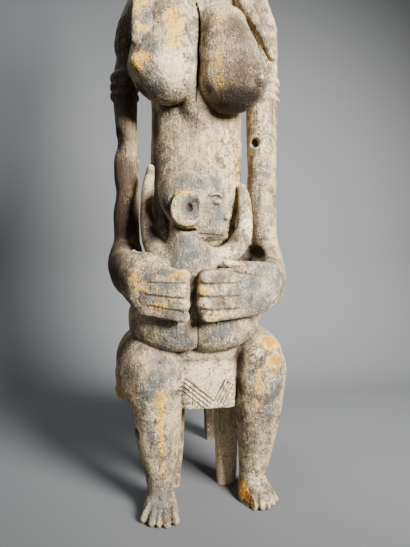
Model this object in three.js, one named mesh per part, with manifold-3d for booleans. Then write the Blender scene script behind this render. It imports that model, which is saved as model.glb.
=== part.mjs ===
/*
 * African maternity figure. A mother sits on a four-legged stool and holds a child with both
 * hands. The child sits astride her lap, faces her and turns its head to the viewer's right.
 * Mother, child and stool are carved from one log, so they are one solid.
 *
 * Frame while building: +X to the viewer's right, +Y away from the viewer, +Z up, the floor at
 * Z = 0 and the mother's trunk around X = Y = 0. At the end the solid is moved so that the origin
 * is at the middle of its underside.
 */
import * as THREE from 'three';
import { mergeVertices } from 'three/addons/utils/BufferGeometryUtils.js';
import Module from 'manifold-3d';

// Driving dimensions, in millimetres

const sittingHeight = 828;       // stool seat to the top of the crest
const seatTop = 172;             // floor to the top of the stool seat
const seatThickness = 48;
const seatWidth = 228;
const seatDepth = 218;
const seatEdgeRound = 7;
const seatSetBack = 57;          // middle of the seat behind the trunk's axis
const stoolLegWidth = 28;
const stoolLegSpanX = 80;        // between the middles of the left and right legs
const stoolLegSpanY = 152;       // between the middles of the front and back legs
const stoolLegOffset = 4;        // the legs' middle, to the right of the trunk's axis
const stoolLegSetBack = 72;      // the legs' middle behind the trunk's axis
const stoolLegTaper = 0.85;      // width at the floor over width at the middle
const stoolLegFlare = 1.15;      // width at the seat over width at the middle
const armHoleDiameter = 10;      // drilled through the arm on the viewer's right
const fingerPitch = 14.6;        // from one finger to the next, down the hand
const fingerHeight = 15.8;       // a finger's own height, so that neighbours touch
const fingerThickness = 15.6;    // front to back
const fingersPerHand = 4;
const handGap = 7;               // slot between the finger tips at the child's back
const armletHeight = 12;
const armletCount = 3;
const armletRaise = 3;           // how far an armlet stands out from the arm
const seatBreakDepth = 8;        // wood lost along the seat's left edge
const seatBreakLength = 80;

/*
 * The body is laid out in shares, so that its proportions stay when its height changes: 828 shares
 * from seat to crest and 172 from floor to seat. Every list below is in shares of those heights.
 */
const sharesAboveSeat = 828;
const sharesBelowSeat = 172;
const share = sittingHeight / sharesAboveSeat;

function level(height) {
  if (height <= sharesBelowSeat) return height * seatTop / sharesBelowSeat;
  return seatTop + (height - sharesBelowSeat) * share;
}

function placed(point) {
  return new THREE.Vector3(point.x * share, point.y * share, level(point.z));
}

const wasm = await Module();
wasm.setup();

// Geometry helpers

const axes = {
  x: new THREE.Vector3(1, 0, 0),
  y: new THREE.Vector3(0, 1, 0),
  z: new THREE.Vector3(0, 0, 1),
};

/** A smooth value through the rows of a table: column 0 is the position, cubic between rows. */
function smoothRow(rows, position) {
  const last = rows.length - 1;
  let i = 0;
  while (i < last - 1 && position > rows[i + 1][0]) i += 1;
  const before = rows[Math.max(i - 1, 0)];
  const start = rows[i];
  const end = rows[i + 1];
  const after = rows[Math.min(i + 2, last)];
  const span = end[0] - start[0];
  const t = THREE.MathUtils.clamp((position - start[0]) / span, 0, 1);
  return start.map((value, column) => {
    const startSlope = (end[column] - before[column]) / (end[0] - before[0]) * span;
    const endSlope = (after[column] - value) / (after[0] - start[0]) * span;
    const a = 2 * value - 2 * end[column] + startSlope + endSlope;
    const b = 3 * end[column] - 3 * value - 2 * startSlope - endSlope;
    return ((a * t + b) * t + startSlope) * t + value;
  });
}

/** Facets round a section, along a form and in its rounded end, finer on larger forms. */
const sidesFor = (half) => Math.round(2 + 1.1 * Math.sqrt(half));
const ringsFor = (length, half) => Math.max(1, Math.round(length / (10.5 + half * 0.8)));
const capRingsFor = (half) => (half > 12 ? 3 : 2);

/** Positions from high to low with the share of the section there: rounded or flat ends. */
function ringPlan(low, high, lowCap, highCap, bodyRings, capRings) {
  const plan = [];
  const highRings = highCap > 0 ? capRings : 1;
  const lowRings = lowCap > 0 ? capRings : 1;
  for (let i = 0; i <= highRings; i += 1) {
    const angle = i / highRings * Math.PI / 2;
    plan.push([high - highCap * (1 - Math.cos(angle)), Math.sin(angle)]);
  }
  const bodyHigh = high - highCap;
  const bodyLow = low + lowCap;
  for (let i = 1; i < bodyRings; i += 1) {
    plan.push([THREE.MathUtils.lerp(bodyHigh, bodyLow, i / bodyRings), 1]);
  }
  for (let i = lowRings; i >= 0; i -= 1) {
    const angle = i / lowRings * Math.PI / 2;
    plan.push([low + lowCap * (1 - Math.cos(angle)), Math.sin(angle)]);
  }
  return plan;
}

/**
 * A closed form made from a sphere: each ring of the sphere is moved to its own section, an oval
 * whose corners get squarer as squareness goes above 2. sectionAt gives middle, two half
 * directions (side and up) for a position; side, up and the running direction are right-handed.
 */
function ringForm(plan, sides, squareness, sectionAt) {
  const geometry = new THREE.SphereGeometry(1, sides, plan.length - 1);
  const position = geometry.attributes.position;
  const power = 2 / squareness;
  const bend = (value) => Math.sign(value) * Math.abs(value) ** power;
  for (let i = 0; i < position.count; i += 1) {
    const [place, grow] = plan[Math.floor(i / (sides + 1))];
    const turn = (i % (sides + 1)) % sides / sides * Math.PI * 2;
    const { middle, side, up } = sectionAt(place);
    const point = middle.clone()
      .addScaledVector(side, bend(Math.cos(turn)) * grow)
      .addScaledVector(up, bend(Math.sin(turn)) * grow);
    position.setXYZ(i, point.x, point.y, point.z);
  }
  return geometry;
}

/**
 * A form stacked along one axis. Each row is: position on the axis, the middle on the two other
 * axes and the half sizes on them, in the order x, y, z.
 */
function stack(axis, rows, options = {}) {
  const { lowCap = 0, highCap = 0, squareness = 2 } = options;
  const others = ['x', 'y', 'z'].filter((name) => name !== axis);
  const low = rows[0][0];
  const high = rows[rows.length - 1][0];
  const largest = Math.max(...rows.map((row) => Math.max(row[3], row[4])));
  const plan = ringPlan(low, high, lowCap, highCap, ringsFor(high - low, largest), capRingsFor(largest));
  const turned = axis === 'y' ? -1 : 1;
  const sectionAt = (place) => {
    const [, first, second, firstHalf, secondHalf] = smoothRow(rows, place);
    const middle = axes[axis].clone().multiplyScalar(place)
      .addScaledVector(axes[others[0]], first)
      .addScaledVector(axes[others[1]], second);
    const side = axes[others[0]].clone().multiplyScalar(firstHalf);
    const up = axes[others[1]].clone().multiplyScalar(secondHalf * turned);
    return { middle, side, up };
  };
  return ringForm(plan, sidesFor(largest), squareness, sectionAt);
}

/**
 * A form along a smooth path. Each row is: x, y, z, the half size upright to the path and the half
 * size level with it. upright is the direction that the first half size leans to.
 */
function limb(rows, options = {}) {
  const { upright = axes.z, squareness = 2 } = options;
  const path = new THREE.CatmullRomCurve3(rows.map(([x, y, z]) => new THREE.Vector3(x, y, z)));
  const spacing = rows.map((row, index) => [index / (rows.length - 1), row[3], row[4]]);
  const length = path.getLength();
  const lowCap = Math.min(rows[0][3], rows[0][4]) / length;
  const highCap = Math.min(rows[rows.length - 1][3], rows[rows.length - 1][4]) / length;
  const largest = Math.max(...rows.map((row) => Math.max(row[3], row[4])));
  const rings = ringsFor(length, largest);
  const plan = ringPlan(-lowCap, 1 + highCap, lowCap, highCap, rings, capRingsFor(largest));
  const sectionAt = (place) => {
    const along = THREE.MathUtils.clamp(place, 0, 1);
    const forward = path.getTangent(along);
    const middle = path.getPoint(along).addScaledVector(forward, (place - along) * length);
    const lean = upright.clone().addScaledVector(forward, -upright.dot(forward)).normalize();
    const [, tall, wide] = smoothRow(spacing, along);
    const side = lean.clone().multiplyScalar(tall);
    const up = forward.clone().cross(lean).multiplyScalar(wide);
    return { middle, side, up };
  };
  return ringForm(plan, sidesFor(largest), squareness, sectionAt);
}

function ball(x, y, z, halfX, halfY, halfZ) {
  const sides = sidesFor(Math.max(halfX, halfY, halfZ));
  const geometry = new THREE.SphereGeometry(1, sides, Math.round(sides * 0.6));
  geometry.scale(halfX, halfY, halfZ);
  geometry.translate(x, y, z);
  return geometry;
}

/** The solid of a closed geometry; body forms are moved from shares to millimetres first. */
function solid(geometry, inShares = true) {
  const bare = geometry.index ? geometry.clone() : geometry;
  bare.deleteAttribute('normal');
  bare.deleteAttribute('uv');
  const merged = mergeVertices(bare, 1e-4);
  const position = merged.attributes.position;
  if (inShares) {
    for (let i = 0; i < position.count; i += 1) {
      const point = placed(new THREE.Vector3().fromBufferAttribute(position, i));
      position.setXYZ(i, point.x, point.y, point.z);
    }
  }
  const vertProperties = new Float32Array(position.array);
  const triVerts = new Uint32Array(merged.index.array);
  return new wasm.Manifold(new wasm.Mesh({ numProp: 3, vertProperties, triVerts }));
}

const pieces = [];
const cuts = [];

function add(geometry, inShares = true) {
  pieces.push(solid(geometry, inShares));
}

function cut(geometry, inShares = true) {
  cuts.push(solid(geometry, inShares));
}

/** Both sides of the body: side is -1 on the viewer's left and 1 on the viewer's right. */
function eachSide(make) {
  [-1, 1].forEach(make);
}

// Mother's trunk, from the hips on the seat to the neck inside the head

function makeTrunk() {
  add(stack('z', [
    [150, 0, 12, 74, 60],
    [185, 0, 16, 82, 66],
    [215, 0, 14, 80, 63],
    [250, 0, 8, 72, 58],
    [300, 0, 3, 65, 55],
    [360, 1, 0, 62, 54],
    [450, 1, 0, 62.5, 53],
    [530, 1, 0, 62, 52],
    [590, 1, 2, 67, 50],
    [640, 0, 4, 70, 45],
    [675, 0, 6, 58, 40],
    [702, 0, 6, 42, 36],
    [730, 0, 4, 35, 34],
    [765, 0, 2, 33, 33],
    [810, 0, 0, 35, 36],
  ]));
  eachSide((side) => add(ball(36 * side, 50, 205, 44, 42, 44)));
}

function makeShoulders() {
  add(limb([
    [-93, 1, 604, 15, 21],
    [-83, 2, 641, 17, 24],
    [-52, 4, 664, 29, 30],
    [0, 5, 674, 33, 32],
    [52, 4, 664, 29, 30],
    [88, 2, 642, 23, 24],
    [95, 1, 604, 20, 22],
  ]));
}

// Long breasts that hang outwards, each with its nipple near the outer end

function makeBreasts() {
  add(stack('z', [
    [508, -41.5, -62, 39, 34],
    [530, -43, -63, 41, 38],
    [555, -45.5, -62, 43, 39],
    [580, -43, -58, 40, 36],
    [610, -36, -51, 34, 31],
    [640, -31, -45, 29, 26],
    [664, -28, -38, 26, 21],
  ], { lowCap: 40, highCap: 16, squareness: 2.15 }));
  add(stack('z', [
    [501, 40, -62, 43, 34],
    [530, 41, -63, 43.5, 39],
    [555, 39, -62, 41.5, 39],
    [575, 36, -60, 38, 37],
    [592, 33, -58, 34, 34],
    [612, 29, -54, 30, 30],
    [637, 27, -48, 27, 24],
  ], { lowCap: 37, highCap: 22, squareness: 2.4 }));
  add(ball(-74, -86, 547, 9, 9, 9));
  add(ball(73, -85, 536, 9, 9, 9));
}

// Arms that hang clear of the trunk; the one on the viewer's left is worn away on its outside

function makeArms() {
  add(stack('z', [
    [282, -93, -26, 17, 20],
    [300, -94, -20, 19, 23],
    [318, -94.5, -15, 18.5, 24],
    [345, -94, -9, 16.5, 21],
    [385, -94.5, -5, 16.5, 19],
    [411, -92.8, -3, 15, 19],
    [445, -95, -2, 16.5, 19],
    [472, -92.5, -2, 13.3, 18],
    [505, -94.5, -1, 14.5, 20],
    [540, -95.5, -1, 15.5, 20],
    [567, -94.5, 0, 15.5, 20],
    [588, -93.5, 0, 13, 20],
    [602, -94, 0, 15, 20],
    [616, -92, 0, 14.5, 20],
    [640, -85, 0, 17, 22],
  ], { lowCap: 22, highCap: 8 }));
  add(stack('z', [
    [252, 92, -33, 18, 22],
    [278, 96, -25, 21, 25],
    [302, 98, -18, 20, 25],
    [325, 97.5, -13, 18, 23],
    [345, 95.5, -9, 17.5, 22],
    [385, 93, -5, 19, 21],
    [450, 93, -2, 20, 21],
    [530, 93, 0, 21, 22],
    [600, 92, 0, 21, 22],
    [645, 86, 0, 19, 22],
  ], { lowCap: 22, highCap: 8 }));
}

/** A group of rings worn one above the other on each upper arm. */
function makeArmlets() {
  const lowest = level(530);
  [[-96, 16.5, 20.5], [93.5, 21, 22]].forEach(([x, halfX, halfY]) => {
    const wide = halfX * share + armletRaise;
    const deep = halfY * share + armletRaise;
    for (let i = 0; i < armletCount; i += 1) {
      const low = lowest + i * armletHeight;
      add(stack('z', [
        [low, x * share, 0, wide, deep],
        [low + armletHeight * 0.98, x * share, 0, wide, deep],
      ], { lowCap: armletHeight * 0.3, highCap: armletHeight * 0.3 }), false);
    }
  });
}

// Forearms come forward from the elbows, and the hands lie flat on the child's back

function makeForearms() {
  add(limb([
    [-95, -16, 316, 24, 20],
    [-98, -46, 314.5, 24, 17.5],
    [-94, -80, 307, 24.5, 16],
    [-80, -106, 295, 27, 12],
    [-57, -118, 287, 33, 9],
  ]));
  // the elbow on the viewer's left has a heavy lower corner
  add(limb([
    [-94, -42, 300, 20, 17],
    [-92, -60, 293, 20, 16],
    [-86, -76, 289, 18, 14],
  ]));
  add(limb([
    [94.5, -26, 299, 30, 19],
    [92.5, -54, 294, 28, 17.5],
    [84, -84, 287, 29, 15.5],
    [64, -104, 283, 31, 12],
    [42, -113, 280, 31, 9],
  ]));
}

/**
 * Four fingers on each hand, one above the other. Each runs level from its knuckle to a rounded
 * tip, and all tips end half the hand gap away from the slot at the child's back.
 */
function makeHands() {
  const slotMiddle = -12.5 * share;
  const firstFinger = level(299);
  const tall = fingerHeight / 2;
  const thick = fingerThickness / 2;
  const tipReach = handGap / 2 + Math.min(tall, thick);
  for (let i = 0; i < fingersPerHand; i += 1) {
    const height = firstFinger - i * fingerPitch;
    add(limb([
      [-62 * share, -116 * share, height, tall, thick],
      [-42 * share, -126 * share, height, tall, thick],
      [slotMiddle - tipReach, -130 * share, height, tall, thick],
    ]), false);
    add(limb([
      [50 * share, -109 * share, height, tall, thick],
      [24 * share, -122 * share, height, tall, thick],
      [slotMiddle + tipReach, -129 * share, height, tall, thick],
    ]), false);
  }
  add(limb([
    [64, -96, 306, 9, 9],
    [46, -106, 310, 7.5, 7.5],
    [25, -118, 314, 5, 6],
  ]));
  add(limb([
    [-82, -98, 318, 9, 9],
    [-64, -108, 318, 8, 8],
    [-46, -114, 312, 7, 7],
  ]));
}

// Mother's legs: thighs along the seat, knees, shins and bare feet

function makeLegs() {
  add(stack('y', [
    [-106, -60, 176, 35, 38],
    [-90, -61, 178, 38, 42],
    [-66, -62, 181, 43, 45],
    [-35, -62, 185, 45, 45],
    [0, -57, 188, 45, 43],
    [40, -46, 190, 36, 36],
  ], { lowCap: 26, highCap: 10, squareness: 2.4 }));
  add(stack('y', [
    [-98, 76, 176, 30, 38],
    [-84, 76, 178, 31.5, 42],
    [-60, 76, 181, 33, 44],
    [-30, 71, 185, 35, 44],
    [0, 60, 188, 40, 42],
    [40, 46, 190, 36, 36],
  ], { lowCap: 26, highCap: 10, squareness: 2.2 }));
  add(stack('z', [
    [4, -51, -65, 14, 15],
    [26, -51, -66, 15.5, 16],
    [45, -51, -66, 19, 20],
    [70, -52, -66, 24, 24],
    [100, -54, -66, 28.5, 27],
    [140, -56, -68, 32, 31],
    [180, -60, -70, 36, 33],
    [212, -60, -68, 32, 30],
  ], { highCap: 16 }));
  add(stack('z', [
    [4, 73, -44, 16, 14],
    [24, 72, -45, 17, 16],
    [50, 74, -47, 20.5, 20],
    [77, 76, -51, 24.5, 24],
    [110, 77, -55, 29, 28],
    [150, 77, -60, 32.5, 32],
    [175, 77, -61, 33, 33],
    [195, 75, -62, 29, 32],
    [214, 72, -60, 26, 30],
  ], { highCap: 16 }));
}

/** A foot along y with five toes; toes lists each tip's x and y and the toe's half width. */
function makeFoot(rows, toes) {
  add(stack('y', rows, { lowCap: 6, highCap: 9 }));
  toes.forEach(([x, y, half]) => {
    const root = rows[1];
    add(limb([
      [THREE.MathUtils.lerp(root[1], x, 0.8), root[0] + 6, 9, 8, half],
      [x, y + half, 5.5, 6, half],
    ]));
  });
}

function makeFeet() {
  makeFoot([
    [-98, -51, 5, 20, 8],
    [-88, -51, 6, 21.5, 12],
    [-72, -51, 8, 20.5, 20],
    [-55, -51, 9, 17.5, 20],
    [-38, -51, 9, 14, 14],
  ], [[-70, -98, 4.6], [-61, -107, 4.9], [-52.5, -110, 4.4], [-43.5, -111.5, 5.2], [-33, -107, 5.4]]);
  makeFoot([
    [-78, 74, 4.5, 20, 7],
    [-68, 75, 6, 24, 12],
    [-54, 75, 8, 22.5, 18.5],
    [-37, 74, 9, 18.5, 20],
    [-17, 73, 9, 14, 14],
  ], [[77, -88, 5], [84.5, -86, 4.6], [91.5, -81, 4.4], [97, -74, 4.2]]);
}

// Lap and the cloth that hangs from it between the knees

function makeApron() {
  add(stack('z', [
    [129.5, 9, -53, 35, 25],
    [150, 9, -55.5, 36, 26],
    [172, 9, -57, 37, 27],
    [192, 7, -56.5, 40, 26],
    [199, 6, -58, 42, 28],
    [215, 4, -58, 46, 29],
  ], { highCap: 4, lowCap: 2.5, squareness: 5 }));
}

// Stool: a thick seat with rounded corners on four legs

function makeStool() {
  const seatBottom = seatTop - seatThickness;
  const foot = stoolLegWidth / 2 * stoolLegTaper;
  const flared = stoolLegWidth / 2 * stoolLegFlare;
  add(stack('z', [
    [seatBottom, 0, seatSetBack, seatWidth / 2, seatDepth / 2],
    [seatTop, 0, seatSetBack, seatWidth / 2, seatDepth / 2],
  ], { lowCap: seatEdgeRound, highCap: seatEdgeRound, squareness: 4 }), false);
  [-1, 1].forEach((side) => [-1, 1].forEach((end) => {
    const x = stoolLegOffset + side * stoolLegSpanX / 2;
    const y = stoolLegSetBack + end * stoolLegSpanY / 2;
    add(stack('z', [
      [0, x, y, foot, foot],
      [seatBottom / 2, x, y, stoolLegWidth / 2, stoolLegWidth / 2],
      [seatBottom + seatThickness / 2, x, y, flared, flared],
    ], { squareness: 4 }), false);
  }));
}

// Child: trunk, head in profile, arms round the mother's flanks, legs astride her lap

function makeChildBody() {
  add(stack('z', [
    [226, -7, -74, 26, 22],
    [245, -7, -80, 36, 28],
    [275, -8, -88, 43, 31],
    [305, -11, -90, 41, 29],
    [324, -15, -91, 34, 25],
    [338, -18, -92, 23, 21],
    [360, -15, -92, 23, 21],
  ], { lowCap: 10 }));
  add(limb([
    [-22, -84, 237, 31, 28],
    [-38, -83, 237, 31, 28],
    [-56, -76, 238, 27, 25],
    [-71, -62, 240, 21, 18],
    [-77, -32, 248, 16, 13],
    [-75, 4, 254, 12, 12],
  ]));
  add(limb([
    [8, -84, 236, 31, 28],
    [24, -83, 236.5, 31, 28],
    [42, -76, 240, 27, 26],
    [58, -60, 245, 21, 20],
    [70, -34, 250, 15, 14],
    [73, 2, 252, 12, 12],
  ]));
  add(limb([
    [-40, -88, 318, 14, 13],
    [-55, -79, 331, 14, 13.5],
    [-62.5, -70, 350, 12.5, 11.2],
    [-66.5, -60, 372, 10.7, 8.2],
    [-65.5, -50, 399, 8.8, 7.9],
    [-63, -43, 420, 7.8, 6.8],
    [-61.5, -38, 434, 6, 5],
  ], { upright: axes.y }));
  add(limb([
    [12, -90, 316, 14, 13],
    [34, -86, 325, 13, 13],
    [49, -74, 341, 12.5, 12],
    [57, -62, 359, 10, 10.5],
    [59.5, -50, 380, 7.5, 9],
    [60, -42, 399, 6, 7.5],
    [58, -36, 412, 5, 6],
  ], { upright: axes.y }));
}

/** The head turned to the side, with its large ear: a thick upright disc, hollowed in front. */
function makeChildHead() {
  add(stack('z', [
    [338, 0, -93, 24, 17],
    [350, 0, -93, 29, 22],
    [362, -3.5, -93, 34.5, 26],
    [376, -8.5, -93, 38.5, 29],
    [390, -11.5, -93, 38.5, 30],
    [404, -13, -93, 36.5, 28],
    [423, -15, -93, 33, 26],
  ], { lowCap: 7, highCap: 17 }));
  add(limb([[25, -93, 384, 4.5, 4], [30, -93, 370, 5, 5.5]], { upright: axes.y }));
  add(ball(26.5, -93, 355, 6.5, 10, 4.5));
  add(ball(22.5, -93, 346, 9, 9, 6));
  add(stack('y', [
    [-126, -20.5, 374.5, 18.2, 19.6],
    [-106, -20.5, 374.5, 16, 17],
  ], { lowCap: 3 }));
  cut(ball(-16.5, -131, 375, 14.5, 10, 14.5));
}

// Mother's head, crest, ears and tresses, of plain general proportions

function makeMotherHead() {
  add(stack('z', [
    [774, 0, -24, 22, 20],
    [790, 0, -16, 32, 34],
    [815, 0, -8, 41, 49],
    [845, 0, -2, 46, 57],
    [880, 0, 2, 46, 58],
    [905, 0, 4, 43, 54],
    [938, 0, 6, 38, 48],
  ], { lowCap: 12, highCap: 26 }));
  add(stack('z', [
    [860, 0, 6, 13, 62],
    [900, 0, 6, 13, 62],
    [950, 0, 8, 11, 56],
    [1000, 0, 12, 9, 50],
  ], { lowCap: 20, highCap: 46 }));
  add(limb([
    [0, -52, 868, 4, 4],
    [0, -58, 850, 5, 6],
    [0, -62, 832, 7, 8.5],
  ], { upright: axes.y }));
  add(ball(0, -50, 806, 13, 8, 5));
  eachSide((side) => {
    add(ball(18 * side, -49, 853, 11, 6, 5.5));
    add(limb([
      [6 * side, -54, 866, 4, 4],
      [20 * side, -51, 870, 4, 4],
      [34 * side, -40, 864, 4, 4],
    ]));
    add(limb([
      [45 * side, -2, 862, 5, 5],
      [49 * side, 8, 858, 5, 5],
      [48 * side, 11, 844, 5, 5],
      [44 * side, 2, 832, 5, 5],
    ]));
  });
}

function makeTresses() {
  add(limb([
    [-40, 18, 850, 11, 9],
    [-47, 18, 800, 11, 9],
    [-48, 6, 745, 12, 10],
    [-56, -16, 702, 13, 10],
    [-63, -44, 664, 13.5, 9.5],
    [-68.5, -66, 626, 14, 9.5],
    [-70.5, -78, 596, 13.5, 9],
    [-71.5, -84, 572, 11.5, 7],
  ], { upright: axes.x, squareness: 3 }));
  add(limb([
    [40, 18, 850, 11, 9],
    [47, 18, 800, 11, 9],
    [49, 6, 745, 13, 10],
    [56, -10, 702, 17, 11],
    [66, -26, 668, 20, 11],
    [74, -36, 643, 19.5, 11],
    [83, -44, 618, 14.5, 10],
    [89.5, -49, 595, 9.5, 8],
    [94, -52, 577, 5.5, 5.5],
  ], { upright: axes.x, squareness: 3 }));
}

// Hole, breaks and the flat underside

function cutHole() {
  const hole = new THREE.CylinderGeometry(armHoleDiameter / 2, armHoleDiameter / 2, 90 * share, 12);
  hole.translate(81 * share, 0, level(475.5));
  cut(hole, false);
}

/** Wood lost along the seat's left edge: a row of overlapping hollows of unequal reach. */
function cutSeatBreak() {
  const reaches = [0.5, 1, 0.7, 1.1, 0.5];
  const spacing = seatBreakLength / reaches.length;
  const front = seatSetBack - seatDepth / 2;
  reaches.forEach((reach, index) => {
    const height = index % 2 ? 0.65 : 0.3;
    const hollow = new THREE.SphereGeometry(1, 9, 6);
    hollow.scale(2 * seatBreakDepth * reach, spacing, seatThickness / 2);
    hollow.translate(-seatWidth / 2 - seatBreakDepth * reach, front + (index + 1.2) * spacing,
      seatTop - seatThickness * (1 - height));
    cut(hollow, false);
  });
}

/**
 * The inner front of the foot on the viewer's right is split off along a slanting face, which runs
 * from the front of the ankle down to the floor beside the second toe.
 */
function cutFootBreak() {
  const ankleCorner = new THREE.Vector3(64, -50, 27);
  const outward = new THREE.Vector3(-0.66, -0.55, 0.51).normalize();
  const upSlope = axes.z.clone().addScaledVector(outward, -outward.z).normalize();
  const across = upSlope.clone().cross(outward);
  const size = 70;
  const lost = new THREE.BoxGeometry(size, size, size);
  lost.translate(0, -size / 2, size / 2);
  lost.applyMatrix4(new THREE.Matrix4().makeBasis(across, upSlope, outward));
  lost.translate(ankleCorner.x, ankleCorner.y, ankleCorner.z);
  cut(lost);
}

function cutCalfChip() {
  cut(ball(-79, -76, 103, 4.5, 7, 8));
}

function cutUnderside() {
  const below = new THREE.BoxGeometry(600 * share, 600 * share, 100);
  below.translate(0, 0, -50);
  cut(below, false);
}

// One carved piece

makeTrunk();
makeShoulders();
makeBreasts();
makeArms();
makeArmlets();
makeForearms();
makeHands();
makeLegs();
makeFeet();
makeApron();
makeStool();
makeChildBody();
makeChildHead();
makeMotherHead();
makeTresses();
cutHole();
cutSeatBreak();
cutFootBreak();
cutCalfChip();
cutUnderside();

const joined = pieces.reduce((whole, piece) => whole.add(piece));
const cutOut = cuts.reduce((whole, piece) => whole.subtract(piece), joined);

// The log is solid inside: hollows sealed between overlapping forms are filled, nothing else goes
const shells = cutOut.decompose().filter((shell) => shell.volume() > 0);
const carved = shells.reduce((whole, shell) => whole.add(shell));

function meshGeometry(manifold) {
  const mesh = manifold.getMesh();
  const geometry = new THREE.BufferGeometry();
  geometry.setAttribute('position', new THREE.BufferAttribute(new Float32Array(mesh.vertProperties), 3));
  geometry.setIndex(new THREE.BufferAttribute(new Uint32Array(mesh.triVerts), 1));
  geometry.computeBoundingBox();
  const middle = geometry.boundingBox.getCenter(new THREE.Vector3());
  geometry.translate(-middle.x, -middle.y, -geometry.boundingBox.min.z);
  geometry.computeVertexNormals();
  return geometry;
}

const weatheredWood = new THREE.MeshStandardMaterial({ color: 0x8a7964, roughness: 0.85, metalness: 0 });

const figure = new THREE.Mesh(meshGeometry(carved), weatheredWood);
figure.name = 'maternity_figure';

const group = new THREE.Group();
group.add(figure);

export default group;
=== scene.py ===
"""The carved figure as one fine piece of weathered wood, with its floor, lights and camera.

Lengths in the carving tables are millimetres in the carver's frame: +X to the viewer's right, +Y
away from the viewer, +Z up, with the mother's trunk around X = Y = 0. The mesh itself is in
metres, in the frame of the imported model.
"""
import math

import bpy
import numpy as np
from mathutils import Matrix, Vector


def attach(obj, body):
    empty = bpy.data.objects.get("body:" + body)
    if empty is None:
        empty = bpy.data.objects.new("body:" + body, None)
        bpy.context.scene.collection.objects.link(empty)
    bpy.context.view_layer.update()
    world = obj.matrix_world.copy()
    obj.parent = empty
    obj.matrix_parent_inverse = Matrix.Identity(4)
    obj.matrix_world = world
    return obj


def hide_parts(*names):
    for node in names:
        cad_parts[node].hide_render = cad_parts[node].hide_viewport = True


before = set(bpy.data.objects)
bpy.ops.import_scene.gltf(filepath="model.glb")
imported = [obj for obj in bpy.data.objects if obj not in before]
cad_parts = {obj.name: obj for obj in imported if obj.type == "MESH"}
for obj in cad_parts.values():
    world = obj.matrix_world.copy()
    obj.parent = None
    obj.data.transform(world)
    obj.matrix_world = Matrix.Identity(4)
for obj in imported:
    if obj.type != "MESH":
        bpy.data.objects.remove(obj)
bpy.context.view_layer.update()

bl_info = {
    "name": "Carved maternity figure",
    "version": (1, 0, 0),
    "blender": (4, 5, 0),
    "location": "View3D > Sidebar > Figure",
    "description": "Carves a seated mother and child from one block of weathered wood",
    "category": "Add Mesh",
}

NODE = "maternity_figure"
BODY = "root"
SLOT = "weathered_wood"

MM = 0.001
CARVER_TO_FRAME = np.array([-1.551, -13.690, 0.0])    # from the carver's frame to the model's, mm
BLOCK_LOW = np.array([-124.0, -142.0, -6.0])          # corners of the block that is carved, mm
BLOCK_HIGH = np.array([124.0, 170.0, 1005.0])
FAR = 60.0                                            # distance that means "nothing near", mm
TINY = 1e-9                                           # keeps a division by zero off
LEAST_SLOPE = 0.5                                     # of a form's measure, over its half size

# Forms as distances on a grid


def smooth_rows(rows, position):
    """Values through the rows of a table at each position: a cubic between two rows whose slope at
    a row is the slope from the row before it to the row after it. Column 0 is the position."""
    last = len(rows) - 1
    i = np.clip(np.searchsorted(rows[:, 0], position, side="right") - 1, 0, last - 1)
    before, start = rows[np.maximum(i - 1, 0)], rows[i]
    end, after = rows[i + 1], rows[np.minimum(i + 2, last)]
    span = end[:, :1] - start[:, :1]
    t = np.clip((position[:, None] - start[:, :1]) / span, 0, 1)
    start_slope = (end - before) / (end[:, :1] - before[:, :1]) * span
    end_slope = (after - start) / (after[:, :1] - start[:, :1]) * span
    a = 2 * start - 2 * end + start_slope + end_slope
    b = 3 * end - 3 * start - 2 * start_slope - end_slope
    return ((a * t + b) * t + start_slope) * t + start


class Block:
    """A block of wood as a grid of distances to the carved surface, negative inside the wood."""

    def __init__(self, step):
        self.step = step
        self.low = BLOCK_LOW
        count = np.ceil((BLOCK_HIGH - BLOCK_LOW) / step).astype(int) + 1
        self.axes = [(low + step * np.arange(size)).astype(np.float32)
                     for low, size in zip(self.low, count)]
        self.field = np.full(tuple(count), FAR, np.float32)

    def window(self, low, high):
        """The slices of the grid that hold a box, and the coordinates there, ready to broadcast."""
        slices, coordinates = [], []
        for a in range(3):
            size = len(self.axes[a])
            first = int(np.clip(math.floor((low[a] - self.low[a]) / self.step), 0, size - 2))
            last = int(np.clip(math.ceil((high[a] - self.low[a]) / self.step) + 1, first + 2, size))
            slices.append(slice(first, last))
            shape = [1, 1, 1]
            shape[a] = last - first
            coordinates.append(self.axes[a][first:last].reshape(shape))
        return tuple(slices), coordinates

    def add(self, form, blend):
        """Joins a form on. Within the blend distance the smaller of the two distances is lowered by
        the square of their closeness, which fills the crease between them with a fillet."""
        slices, distance = form
        self.field[slices] = smooth_min(self.field[slices], distance, blend)

    def cut(self, form, blend):
        """Takes a form away: the larger of the field and the form's distance turned over."""
        slices, distance = form
        self.field[slices] = -smooth_min(-self.field[slices], distance, blend)

    def join(self, other, blend):
        """Joins another block that was carved on the same grid."""
        self.field = smooth_min(self.field, other.field, blend)


def smooth_min(a, b, blend):
    """The smaller of a and b, less (1 - |a - b| / blend) squared times a quarter of the blend."""
    least = np.minimum(a, b)
    if blend <= 0:
        return least
    close = np.clip(1 - np.abs(a - b) / blend, 0, None)
    return least - close * close * np.float32(blend / 4)


def blend_corners(values, cell, t):
    """The sum over a grid cell's eight corners of the value there times its share, which is the
    product of t or 1 - t along the three axes. Past its end the grid repeats."""
    result = np.zeros(len(cell), np.float32)
    for corner in range(8):
        offset = np.array([corner & 1, corner >> 1 & 1, corner >> 2 & 1])
        share = np.prod(np.where(offset, t, 1 - t), axis=1)
        i, j, k = ((cell + offset) % values.shape).T
        result += share * values[i, j, k]
    return result


def sample_grid(values, low, step, points):
    """Values of a grid at points, linear between the eight grid points round each."""
    place = (points - low) / step
    cell = np.clip(np.floor(place).astype(np.int64), 0, np.array(values.shape) - 2)
    return blend_corners(values, cell, np.clip(place - cell, 0, 1).astype(np.float32))


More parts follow.
